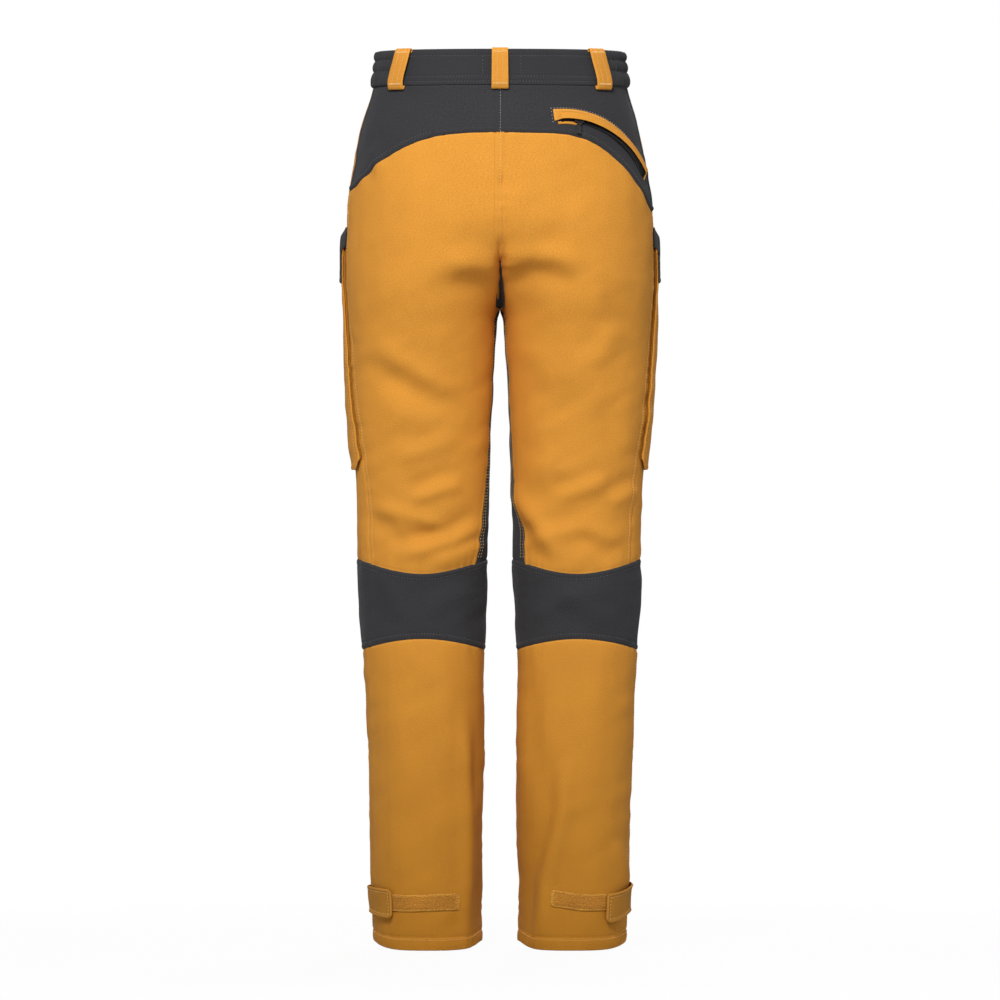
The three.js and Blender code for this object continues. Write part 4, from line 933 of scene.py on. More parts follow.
heights = np.array([0, 0.5, 1.5, 2.7, 4, 5.3, 7, 8.7, 10, 11.3, 14, 17, 20, 23, 26, 29, 31.5, 32.8, 34, 35.2, 37.5,
                    39.5, 40.8, 41.6, 42])
fine = np.linspace(0, 42, 43)
for name, first, last in (("back", -154, -26), ("side_right", -26, 30), ("side_left", 150, 206),
                          ("front_right", 30, 89.9), ("front_left", 90 + CLOSURE, 150)):
    gathered = name.startswith("side")
    up = fine if gathered else heights
    count = int((last - first) * 2.5 / (1.15 if gathered else 3.4))
    angle = np.linspace(first, last, count + 1)[None, :] + 0 * up[:, None]
    down = BAND_HEIGHT - up[:, None] + 0 * angle
    edge = np.minimum(up[:, None], BAND_HEIGHT - up[:, None]) + 0 * angle
    out = 1.35 - 0.75 * np.exp(-(edge / 0.7) ** 2) + hand_waved(angle, 1.3) * smooth(edge / 6)
    if gathered:
        arc = (angle - first) * 2.5
        ends = smooth(np.minimum(arc, arc.max() - arc) / 9)
        i = np.clip(np.searchsorted(CHANNELS, down, side="right") - 1, 0, 2)
        lo, hi = np.array(CHANNELS)[i], np.array(CHANNELS)[i + 1]
        t = (down - lo) / (hi - lo)
        puff = np.sqrt(np.clip(np.sin(np.pi * t), 0, 1))
        shift = 1.9 * i + 1.2 * np.sin(arc / 13 + i)
        ridge = np.sin(2 * np.pi * (arc + shift + 1.1 * np.sin(arc / 7.3 + 2 * i)) / 6.4)
        ridge = ridge * (0.7 + 0.3 * np.sin(arc / 4.1 + 3 * i))
        out = out + ends * (2.5 * puff + (0.25 + 0.85 * puff) * ridge)
    else:
        for row in (8, 32, 38):
            out = out - 0.6 * np.exp(-((down - row) / 1.1) ** 2) + 0.25 * np.exp(-((down - row) / 4) ** 2)
    under = f"yoke_cloth_{'left' if 'left' in name else 'right'}"
    wrap(f"waistband_cloth_{name}", angle, waist_top(angle) - down, out, -1.0, 145,
         0.7 * np.exp(-(edge / 0.9) ** 2), charcoal,
         "trousers", f"waistband_{name}")

band_rows = []
for first, last in ((-153.5, -26.5), (30.5, 89), (90 + CLOSURE + 1, 149.5)):
    band_rows += [waist_row(first, last, down, 1.3) for down in (8, 32, 38)]
for side_first in (-26, 150):
    for down in CHANNELS[1:3]:
        band_rows.append(waist_row(side_first + 3, side_first + 53, down, 1.6))
for angle in (-26.6, 30.6, 149.4, 206.6, -102.0, -75.6):
    down = np.arange(9.5, 31, 2.0)
    turn = angle + 0 * down
    band_rows.append(waist_point(turn, waist_top(turn) - down, 1.4 + 0 * down))
sew("waistband_thread", band_rows, dark_thread, "trousers")

# ---- Facing and elastic --------------------------------------------------------------------------
# A smooth dark facing tape lines the whole band. Between it and each gathered side length runs a
# ribbed elastic, sewn at both ends.

facing_tape = woven("facing_cloth", (0.050, 0.050, 0.055), (0.034, 0.034, 0.038), 0.6, 0.0015, 0.8, 0.1,
                    (0.8, 0.8, 0.85), crumple=0.0003)
ribbed = woven("elastic", (0.030, 0.030, 0.033), (0.016, 0.016, 0.018), 1.6, 0.0012, 0.9, 0.15, (0.7, 0.7, 0.75),
               weave=0.0005, crumple=0.0002)
gap = CLOSURE + 2
angle = np.linspace(90 + gap, 450 - gap, 190)[None, :]
down = np.array([1, 1.6, 3, 6, 12, 21, 30, 36, 39, 40.4, 41])[:, None]
z = waist_top(angle) - down
edge = np.minimum(down - 1, 41 - down) + 0 * angle
low = -4.4 + 0.3 * np.exp(-(edge / 0.8) ** 2) - 0.25 * np.exp(-((edge - 4) / 1.0) ** 2)
wrap("waistband_facing_tape", angle, z, -3.4, low, 140, 0.2, facing_tape,
     "trousers", "waistband_facing")
turn = np.linspace(90 + gap + 1, 449 - gap, 300)
rows = [waist_point(turn, waist_top(turn) - down, -4.45 + 0 * turn) for down in (4.5, 37.5)]
rows = [(p, -n) for p, n in rows]
sew("facing_thread", rows, grey_thread, "trousers")
for side, first, last in (("right", -24, 28), ("left", 152, 204)):
    angle = np.linspace(first, last, 130)[None, :]
    down = np.linspace(4, 38, 18)[:, None]
    z = waist_top(angle) - down
    wave = 0.22 * np.sin(np.radians(angle) * 145 * 2 * np.pi / 5.1) + 0 * z
    wrap(f"elastic_strip_{side}", angle, z, -1.95 + wave, -2.85 + wave, 145, 0, ribbed,
         "trousers", f"waist_elastic_{side}")

# ---- Belt loops ----------------------------------------------------------------------------------
# Five 20 mm straps of folded ochre cloth with two rows down the middle. The top end is folded over the
# band's edge and the foot is tucked under itself, both held by bar tacks.


def rounded(points, times=2):
    """A line with its corners cut twice over, so that it bends smoothly."""
    points = np.array(points, float)
    for _ in range(times):
        a, b = points[:-1], points[1:]
        inner = np.stack([mix(a, b, 0.25), mix(a, b, 0.75)], 1).reshape(-1, points.shape[1])
        points = np.concatenate([points[:1], inner, points[-1:]])
    return points


strap = rounded([(0.2, -6.5), (0.9, -3.0), (1.4, -0.6), (3.4, 0.9), (5.9, 0.5), (7.0, -2.5), (7.5, -8), (7.7, -16), (7.7, -24),
                 (7.6, -32), (7.3, -38.5), (6.2, -43), (4.6, -46.0), (2.9, -47.2), (1.9, -45.6), (1.8, -42.5)])
slope = np.gradient(strap, axis=0)
slope /= np.linalg.norm(slope, axis=1, keepdims=True)
facing = np.stack([-slope[:, 1], slope[:, 0]], 1)
widths = 0.93 * np.array([-10, -9.7, -9, -7.2, -5, -3.2, -1.5, 0, 1.5, 3.2, 5, 7.2, 9, 9.7, 10])
for name, at, skew in (("rear_centre", -90, 0.0), ("rear_right", -30, 2.5), ("rear_left", -150, -2.5), ("front_right", 50, 0.0),
                       ("front_left", 130, 0.0)):
    radius = np.linalg.norm(waist_block(at, 0.0))
    fade = smooth(-strap[:, 1] / 40)[:, None]
    angle = at + np.degrees((widths[None, :] + skew * (2 * fade - 1)) / radius)
    round_off = 0.75 - 0.5 * np.exp(-((9.3 - abs(widths)) / 0.5) ** 2) - 0.22 * np.exp(-((abs(widths) - 3.2) / 0.8) ** 2)
    faces = []
    for way in (1, -1):
        thick = (round_off if way > 0 else np.minimum(round_off, 0.7))[None, :]
        out = strap[:, :1] + way * facing[:, :1] * thick
        z = waist_top(angle) + strap[:, 1:] + way * facing[:, 1:] * thick
        faces.append(waist_point(angle, z, out)[0])
    run = np.concatenate([[0], np.cumsum(np.linalg.norm(np.diff(strap, axis=0), axis=1))])[:, None]
    uv = np.stack([widths[None, :] + 0 * run, run + 0 * widths[None, :]], -1)
    wear = 0.8 * np.exp(-((9.3 - abs(widths[None, :])) / 0.8) ** 2) + 0.5 * np.exp(-((run - 12) / 3) ** 2)
    made = plate(f"belt_loop_strap_{name}", faces[0], faces[1], uv, np.clip(wear, 0, 1), ochre)
    fit(made, faces[0], "trousers", f"belt_loop_{name}")
    rows = []
    used = (strap[:, 1] < -2.2) & (strap[:, 1] > -44) & (np.arange(len(strap)) > 12)
    for across in (-3.2, 3.2):
        turn = at + np.degrees((across + skew * (2 * fade[used, 0] - 1)) / radius)
        rows.append(waist_point(turn, waist_top(turn) + strap[used, 1], strap[used, 0] + 0.75))
    sew(f"belt_loop_rows_{name}", rows, tonal_thread, "trousers", 2.6, 2.0)
    tacks = []
    for level in (-3.6, -41.2):
        width = np.linspace(-7, 7, 8)
        out = np.interp(-level, -strap[12:, 1], strap[12:, 0]) + 0.75
        share = float(smooth(-level / 40))
        for shift in (0, 0.8):
            turn = at + np.degrees((width + skew * (2 * share - 1)) / radius)
            tacks.append(waist_point(turn, waist_top(turn) + level - shift, out + 0 * width))
    sew(f"belt_loop_tacks_{name}", tacks, tonal_thread, "trousers", 0.85, 0.7, 1.5, 0.6)

# ---- Fly -----------------------------------------------------------------------------------------
# A coil zip on a black tape behind the two front edges, backed by a shield cut from the facing cloth.
# The slider and its pull are painted metal.

zip_tape = woven("zip_tape", (0.020, 0.020, 0.021), (0.012, 0.012, 0.013), 0.7, 0.0012, 0.85, 0.1, (0.7, 0.7, 0.7),
                 weave=0.0003, crumple=0.0001)
metal, tree, finish = new_material("dark_metal")
scuff = node(tree, "ShaderNodeTexNoise", "Fac", {
    "Scale": 420, "Detail": 6, "Vector": node(tree, "ShaderNodeTexCoord", "Object")})
wire(tree, finish, {
    "Base Color": blended(tree, (0.045, 0.045, 0.048, 1), (0.13, 0.13, 0.135, 1), scuff),
    "Roughness": ranged(tree, scuff, to_min=0.28, to_max=0.5), "Metallic": 0.85,
    "Normal": node(tree, "ShaderNodeBump", "Normal", {"Distance": 0.0001, "Height": scuff})})
for name in ("fly_zip_slider", "fly_zip_pull", "back_pocket_slider", "back_pocket_pull",
             "waist_stud_cap", "waist_stud_socket"):
    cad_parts[name].material_slots[0].material = metal

fly_levels = np.array([-(FRONT_DIP + BAND_HEIGHT + 1.5), FLY_BOTTOM + 2.0])
fly_ends = block(angle_at(7, fly_levels, 1), fly_levels)
fly_ends[:, 0] = 0
fly_run = np.linalg.norm(fly_ends[1] - fly_ends[0])
fly_down = (fly_ends[1] - fly_ends[0]) / fly_run
fly_out = np.cross([1.0, 0, 0], fly_down)


def fly_place(across, along, out):
    across, along, out = np.broadcast_arrays(across, along, out)
    base = fly_ends[0] + fly_down * along[..., None] + fly_out * (out - 3.5)[..., None]
    return base + np.array([1.0, 0, 0]) * across[..., None]


across = np.array([-12, -11.7, -9, -6, -3.2, -1.5, 0, 1.5, 3.2, 6, 9, 11.7, 12])[None, :]
along = np.linspace(0, fly_run, 52)[:, None]
rib = 0.9 + 0.12 * (abs(across) > 3) * np.sin(along * 2 * np.pi / 4.9) + 0 * along
shell = fly_place(across, along, rib), fly_place(across, along, 0.2 + 0 * rib)
made = plate("fly_tape", *shell, pair(across, along), 0 * rib, zip_tape)
fit(made, shell[0], "trousers", "fly_zip_tape")
across = np.linspace(-20, 20, 15)[None, :]
along = np.linspace(0.5, fly_run + 8, 40)[:, None]
level = -0.5 + 0.25 * np.sin(along / 17 + across / 9)
shell = fly_place(across, along, level), fly_place(across, along, level - 0.8)
made = plate("fly_shield_cloth", *shell, pair(across, along), 0 * level, facing_tape)
fit(made, shell[0], "trousers", "fly_shield")


def coil(name, place, length):
    """A zip's two interleaved rows of nylon coil, as beads across the tape."""
    rows = []
    for half in (-1, 1):
        along = np.arange(0.6 + (0.65 if half > 0 else 0), length - 0.6, 1.3)
        rows.append(place(half * 0.95, along))
    sew(name, rows, zip_tape, "trousers", 1.3, 0.95, 3.0, 1.5)


def fly_coil(across, along):
    return fly_place(across, along, 1.45), np.broadcast_to(fly_out, along.shape + (3,))


coil("fly_coil", fly_coil, fly_run)
z = np.arange(-63, -186, -2.5)
edge = centre_front(z)
fly_rows = [cloth_point(sign, edge - 2.0 / degree(edge, z), z, 0.2) for sign in (-1, 1)]
high = cloth_point(-1, edge - 34 / degree(edge, z), z, 0.1)
keep = z > -168
fly_rows.append((high[0][keep], high[1][keep]))
sew("fly_thread", fly_rows, tonal_thread, "trousers")

# ---- Waist tab -----------------------------------------------------------------------------------
# A charcoal tab sewn at the right front, with a rounded end that closes on a press stud.

root, tip = 90 - np.degrees(8 / 99), 90 + np.degrees(36 / 99)
u = np.concatenate([[0, 0.012, 0.04], np.linspace(0.08, 0.8, 14), [0.85, 0.89, 0.925, 0.95, 0.97, 0.985, 0.995, 1]])[None, :]
v = np.array([-1, -0.97, -0.9, -0.78, -0.6, -0.3, 0, 0.3, 0.6, 0.78, 0.9, 0.97, 1])[:, None]
angle = mix(root, tip, u) + 0 * v
from_tip = (1 - u) * 44
half = np.where(from_tip < 9, 10 + np.sqrt(np.maximum(0, 81 - (9 - from_tip) ** 2)), 19)
z = (waist_top(angle) - 21) + v * half
under = mix(1.8, 3.4, smooth(u / 0.5)) + 0 * v
edge = np.minimum((1 - abs(v)) * half, from_tip)
over = under + 1.9 - 0.7 * np.exp(-(edge / 0.6) ** 2) - 0.3 * np.exp(-((edge - 3) / 0.9) ** 2)
wrap("waist_tab_cloth", angle, z, over, under, 100, 0.6 * np.exp(-(edge / 0.9) ** 2), charcoal,
     "waist_flap", "waist_tab")
t = np.linspace(0.1, 0.9, 40)
rows = []
for way in (-1, 1):
    turn = mix(root, tip, t)
    rows.append(waist_point(turn, waist_top(turn) - 21 + way * 16.0, mix(1.8, 3.4, smooth(t / 0.5)) + 1.95))
sew("waist_tab_thread", rows, dark_thread, "waist_flap")

# ---- Hand pocket and back pocket bags ------------------------------------------------------------
# Ochre-brown pocketing, a plain light weave, hung inside the front and behind the right yoke.

pocketing = woven("pocketing", (0.30, 0.175, 0.05), (0.22, 0.12, 0.032), 0.7, 0.0018, 0.85, 0.1, (1, 0.8, 0.5))


def lining(name, sign, first, last, bottom, top, out, width, height, stands_for):
    angle, z, _ = panel_grid(first, last, bottom, top, ("butt",) * 4, width, height, 5.0)
    sag = 0.35 * np.sin(z / 19 + angle / 11)
    outer, n = cloth_point(sign, angle, z, out + sag)
    made = plate(name, outer, outer - n * 0.6, pair(np.radians(angle) * 82, z), 0, pocketing)
    fit(made, outer, "trousers", stands_for)


for side, sign in SIDES.items():
    lining(f"hand_pocket_cloth_{side}", sign, lambda z: side_seam(side)(z) + 4, fixed(98),
           lambda a: -POCKET_END - 85 + 0.35 * abs(a - 50), lambda a: band_edge(a) - 4, -3.5, 130, 200,
           f"hand_pocket_bag_{side}")
lining("back_pocket_cloth", 1, fixed(-122), fixed(-24), lambda a: -225 + 0.2 * abs(a + 70), fixed(-74),
       -3.5, 150, 140, "back_pocket_bag")

# ---- Back pocket zip and cover -------------------------------------------------------------------
# The zip curves down over the right hip. An ochre strip, sewn along its upper edge and both ends,
# arches over it so that the pull stays clear, and a thin ochre lip lines the opening.

ZIP_AT = np.array([70.0, 134.0, 166.0]), np.array([-82.0, -101.0, -145.0])
za, zb, zc = block(turn_to(*ZIP_AT), ZIP_AT[1])
zip_axis = np.cross(zb - za, zc - za)
zip_centre = za + (np.cross(np.cross(zb - za, zc - za), zb - za) * np.dot(zc - za, zc - za)
                   + np.cross(zc - za, zip_axis) * np.dot(zb - za, zb - za)) / (2 * np.dot(zip_axis, zip_axis))
zip_axis /= np.linalg.norm(zip_axis)
zip_radius = np.linalg.norm(za - zip_centre)
zip_sweep = np.arccos(np.dot(za - zip_centre, zc - zip_centre) / zip_radius ** 2)
zip_run = zip_sweep * zip_radius


def spun(v, turn):
    """A direction turned about the zip's own axis."""
    c, s = np.cos(turn)[..., None], np.sin(turn)[..., None]
    return v * c + np.cross(zip_axis, v) * s + zip_axis * np.sum(zip_axis * v, -1, keepdims=True) * (1 - c)


zip_middle = spun(za - zip_centre, np.array(zip_sweep / 2)) + zip_centre
middle_angle = np.degrees(np.arctan2(zip_middle[1], zip_middle[0] - (outer_at(-zip_middle[2]) + gap_at(-zip_middle[2])) / 2))
zip_facing = outward(block, np.array(middle_angle), np.array(zip_middle[2]))


def zip_place(across, along, out):
    """A place on the zip, by distances across it, along it and out from the yoke, and its facing."""
    across, along, out = np.broadcast_arrays(*(np.asarray(v, float) for v in (across, along, out)))
    turn = along / zip_radius
    spoke = spun(za - zip_centre, turn)
    normal = spun(zip_facing, turn - zip_sweep / 2)
    tangent = np.cross(zip_axis, spoke)
    tangent /= np.linalg.norm(tangent, axis=-1, keepdims=True)
    side_way = np.cross(tangent, normal)
    side_way /= np.linalg.norm(side_way, axis=-1, keepdims=True)
    up = np.cross(side_way, tangent)
    return zip_centre + spoke + up * (out + 1.1)[..., None] + side_way * across[..., None], up


def over_yoke(p, out):
    """The hung cloth nearest to places on the right hip, moved out."""
    centre = (outer_at(-p[..., 2]) + gap_at(-p[..., 2])) / 2
    return cloth_point(1, np.degrees(np.arctan2(p[..., 1], p[..., 0] - centre)), p[..., 2], out)


across = np.array([-4.5, -4.2, -3, -2, -1, 0, 1, 2, 3, 4.2, 4.5])[None, :]
along = np.linspace(1, zip_run - 1, 56)[:, None]
shell = zip_place(across, along, 0.85 + 0 * along)[0], zip_place(across, along, 0.1 + 0 * along)[0]
made = plate("back_pocket_tape", *shell, pair(across, along), 0 * along + 0 * across, zip_tape)
fit(made, shell[0], "trousers", "back_pocket_zip")
coil("back_pocket_coil", lambda a, s: zip_place(a, s + 1, 1.4), zip_run - 2)

along = np.concatenate([[-7, -6.6, -5.6, -4, -2], np.linspace(0, zip_run, 64), zip_run + np.array([2, 4, 5.6, 6.6, 7])])[None, :]
across = np.array([-12, -11.6, -10.6, -9.2, -7.6, -6, -4.8, -3.6, -2.4, -1.2, 0, 1.0, 1.7, 2])[:, None]
ends = np.minimum(along + 7, zip_run + 7 - along)
rise = smooth((ends - 2) / 7) * smooth((across + 10.5) / 6) * (1 - 0.1 * smooth(along / zip_run * 2 - 1))
edge = np.minimum(np.minimum(ends, across + 12), 2 - across)
flat = zip_place(across, along, -1.1)[0]
lift = mix(0.7, 7.0, rise) + 0.3 * np.sin(along / 11) * rise
outer, n = over_yoke(flat, lift + 0.85 - 0.4 * np.exp(-(edge / 0.6) ** 2) - 0.25 * np.exp(-((across + 9.6) / 0.9) ** 2))
inner = over_yoke(flat, lift)[0]
made = plate("back_pocket_strip", outer, inner, pair(along, across),
             0.7 * np.exp(-(edge / 0.9) ** 2), ochre)
fit(made, outer, "trousers", "back_pocket_cover")
run = np.linspace(-5.5, zip_run + 5.5, 90)
rows = [over_yoke(zip_place(-9.6 + 0 * run, run, -1.1)[0], 1.9 + 2.2 * 0 * run)]
end_across = np.linspace(-10, 1, 12)
rows += [over_yoke(zip_place(end_across, -5.2 + 0 * end_across, -1.1)[0], 2.0),
         over_yoke(zip_place(end_across, zip_run + 5.2 + 0 * end_across, -1.1)[0], 2.0)]
sew("back_pocket_thread", rows, tonal_thread, "trousers")
run = np.linspace(-8.5, zip_run + 8.5, 90)
end_across = np.linspace(-13.6, 3, 14)
rows = [over_yoke(zip_place(-13.6 + 0 * run, run, -1.1)[0], 0.2),
        over_yoke(zip_place(end_across, -8.8 + 0 * end_across, -1.1)[0], 0.2)]
sew("back_pocket_outline", rows, grey_thread, "trousers")
along = np.linspace(-3, 24, 24)[None, :]
across = np.array([3.4, 3.9, 4.6, 5.5, 6.3, 6.8])[:, None]
flat = zip_place(across, along, -1.1)[0]
lip = np.array([0.5, 1.2, 1.5, 1.5, 1.2, 0.6])[:, None] * smooth((24 - along) / 14)
outer = over_yoke(flat, 0.25 + lip)[0]
inner = over_yoke(flat, -0.1 + 0 * lip)[0]
made = plate("back_pocket_lip", outer, inner, pair(along, across), 0 * lip, ochre)
fit(made, outer, "trousers")

# ---- Thigh pockets -------------------------------------------------------------------------------
# An ochre patch with cut-off lower corners stands off each outer thigh on a pleated gusset. A charcoal
# flap with two rows round its edge closes it.

# A darker copy of the ochre cloth: painted shade, used for the pocket gussets and the hem tabs.
shaded = woven("shaded_ochre_cloth", (0.50, 0.217, 0.021), (0.36, 0.151, 0.013), 1.05, 0.0013, 0.84, 0.05, (1, 0.7, 0.3))
POCKET_TOP, POCKET_FOOT, POCKET_OUT, POCKET_WIDE, CORNER = -230, -490, 4.6, 76, 14
for side, sign in SIDES.items():
    def rear(z, seam_line=side_seam(side)):
        return seam_line(z) + 2

    def fore(z, rear=rear):
        return rear(z) + POCKET_WIDE

    def foot(angle, rear=rear, fore=fore):
        low = np.full(np.shape(angle), float(POCKET_FOOT))
        end = np.minimum(angle - rear(low), fore(low) - angle)
        return POCKET_FOOT + CORNER * (1 - np.clip(end / 9, 0, 1))

    angle, z, away = panel_grid(rear, fore, foot, lambda a: POCKET_TOP + 0 * a, ("over",) * 4, 110, 260, 4.0)
    over, under = seam_heights(away, ("over",) * 4, z)
    inside_by = np.minimum.reduce(away)
    belly = (1.4 * smooth(inside_by / 30) + 0.6 * np.sin(z / 31 + angle / 13) * smooth(inside_by / 12)) * smooth((-268 - z) / 30)
    outer, n = cloth_point(sign, angle, z, POCKET_OUT + over + belly)
    inner = outer + n * (under - over)[..., None]
    made = plate(f"thigh_pocket_cloth_{side}", outer, inner, pair(np.radians(angle) * 82, z),
                 0.25 * np.exp(-(inside_by / 0.8) ** 2), ochre)
    fit(made, outer, "trousers", f"thigh_pocket_face_{side}")

    down = np.linspace(POCKET_TOP, POCKET_FOOT + CORNER, 40)
    share = np.linspace(0, 1, 30)
    turn_low = mix(rear(np.array([POCKET_FOOT * 1.0])) + 9, fore(np.array([POCKET_FOOT * 1.0])) - 9, share)
    path_angle = np.concatenate([rear(down), turn_low, fore(down[::-1])])
    path_z = np.concatenate([down, POCKET_FOOT + 0 * share, down[::-1]])
    way_in = np.stack([np.concatenate([1 + 0 * down, 0 * share, -1 - 0 * down]),
                       np.concatenate([0 * down, 1 + 0 * share, 0 * down])])
    for k in (len(down) - 1, len(down), len(down) + len(share) - 1, len(down) + len(share)):
        way_in[:, k] = (0.7 * (1 if k < 60 else -1), 0.7)
    pleat = np.array([(0.0, 0.2), (3.0, 0.4), (5.2, 0.9), (5.4, 1.8), (3.2, 2.5), (0.8, 3.1), (0.2, 4.1)])
    faces = []
    for extra in (0.0, 0.8):
        inward = pleat[:, 0][:, None] + extra
        turn = path_angle[None, :] + way_in[0] * inward / degree(path_angle, path_z)[None, :]
        faces.append(cloth_point(sign, turn, path_z[None, :] + way_in[1] * inward, pleat[:, 1][:, None] + 0 * turn)[0])
    run = np.arange(len(path_z)) * 6.5
    # The gusset is drawn in the darker ochre: painted shade between the pocket and the leg.
    made = plate(f"thigh_pocket_pleat_{side}", faces[0], faces[1],
                 np.stack(np.broadcast_arrays(run[None, :], pleat[:, 1][:, None]), -1), 0 * faces[0][..., 0], shaded)
    fit(made, faces[0], "trousers", f"thigh_pocket_gusset_{side}")

    rows = []
    for inward in (2.0, 7.0):
        z_line = np.arange(POCKET_TOP - 2, POCKET_FOOT + CORNER + 2, -2.5)
        for seam_line, way in ((rear, 1), (fore, -1)):
            turn = seam_line(z_line)
            rows.append(cloth_point(sign, turn + way * inward / degree(turn, z_line), z_line,
                                    POCKET_OUT + 0.15 + 1.6 * smooth(inward / 30.0) + 0 * z_line))
        turn = mix(rear(np.array([POCKET_FOOT * 1.0])) + 9, fore(np.array([POCKET_FOOT * 1.0])) - 9, np.linspace(0, 1, 50))
        rows.append(cloth_point(sign, turn, POCKET_FOOT + inward + 0 * turn, POCKET_OUT + 0.15 + 1.6 * smooth(inward / 30.0) + 0 * turn))
    sew(f"thigh_pocket_thread_{side}", rows, tonal_thread, "trousers")

    angle, z, away = panel_grid(lambda z: rear(z) - 1, lambda z: fore(z) + 1, lambda a: -271 + 0 * a,
                                lambda a: -206 + 0 * a, ("over",) * 4, 112, 65, 3.4)
    over, under = seam_heights(away, ("over", "over", "over", "butt"), z, 0.6)
    stand = mix(0.5, POCKET_OUT + 1.8, smooth((-206 - z) / 13)) + 0.5 * np.sin(angle / 9) * smooth((-225 - z) / 25)
    outer, n = cloth_point(sign, angle, z, stand + over + CLOTH)
    turned = smooth((2.5 - np.minimum(away[0], away[1])) / 1.5) * smooth((z + 233) / 4) * (stand - 0.4)
    inner = outer + n * (under - over - turned)[..., None]
    made = plate(f"thigh_flap_cloth_{side}", outer, inner, pair(np.radians(angle) * 82, z),
                 0.8 * np.exp(-(np.minimum.reduce(away) / 0.8) ** 2), charcoal)
    fit(made, outer, f"{side}_thigh_flap", f"thigh_flap_{side}")
    rows = []
    for inward in (2.0, 7.0):
        turn = np.arange(rear(np.array([-271.0]))[0] + 1, fore(np.array([-271.0]))[0] - 1, 1.5)
        rows.append(cloth_point(sign, turn, -271 + inward + 0 * turn,
                                POCKET_OUT + 2.0 + CLOTH + 0.5 * np.sin(turn / 9)))
    sew(f"thigh_flap_thread_{side}", rows, dark_thread, f"{side}_thigh_flap")

# ---- Hem tabs ------------------------------------------------------------------------------------
# A doubled ochre tab sewn at each outer shin draws in the hem. A hook patch under its tip grips the
# fuzzy loop strip sewn round the back of the leg.

TAB_ROOT, TAB_TIP, STRIP_END = 10, {"left": -57, "right": -59}, {"left": -121.5, "right": -110.5}
TAB_LEVEL = -OUTSEAM + 55
fuzzy = woven("hook_and_loop", (0.92, 0.42, 0.062), (0.24, 0.095, 0.010), 1.4, 0.0016, 0.95, 0.12, (1, 0.75, 0.4),
              weave=0.0006, crumple=0.0003)


def tab_sag(side, angle):
    """How far the tab and strip slant from level: the right one is closed lower at its tip."""
    return -9.0 * smooth((6 - angle) / 62) + 3.0 if side == "right" else -1.0 + 0 * angle


def strip_sag(side, angle):
    return 1.5 + 5.0 * smooth((-78 - angle) / 34) if side == "right" else 0.5 + 1.5 * smooth((-70 - angle) / 40)


def end_half(from_end, half, corner):
    inside = np.maximum(0, corner - np.maximum(from_end, 0))
    return half - corner + np.sqrt(np.maximum(0, corner ** 2 - inside ** 2))


def fuzz_tree():
    """Short curled loops scattered over a strip's outer face."""
    tree, given = growing_tree("loop_fuzz", {
        "Face": "Geometry", "Per square metre": "Float", "Height": "Float", "Thickness": "Float",
        "Seed": "Int", "Loops": "Material"}, "Fuzz")
    scatter = node(tree, "GeometryNodeDistributePointsOnFaces", None, {
        "Mesh": given["Face"], "Density": given["Per square metre"], "Seed": given["Seed"]}).outputs
    spin = node(tree, "FunctionNodeRandomValue", "Value", data_type="FLOAT_VECTOR", sockets={
        "Min": (-0.7, -0.7, 0), "Max": (0.7, 0.7, 6.28)})
    turn = node(tree, "FunctionNodeRotateRotation", "Rotation", rotation_space="LOCAL", sockets={
        "Rotation": scatter["Rotation"], "Rotate By": spin})
    size = given["Thickness"], given["Thickness"], given["Height"]
    beads(tree, scatter["Points"], turn, size, given["Loops"], "Fuzz")
    return tree


def tab_sheet(name, sign, angle, z, over, under, wear, material, body, stands_for):
    """A sheet laid round the shin between two distances from the bare leg."""
    outer, inner = (cloth_point(sign, angle, z, out + 0 * z)[0] for out in (over, under))
    made = plate(name, outer, inner, pair(np.radians(angle) * 75, z), wear, material)
    fit(made, outer, body, stands_for)


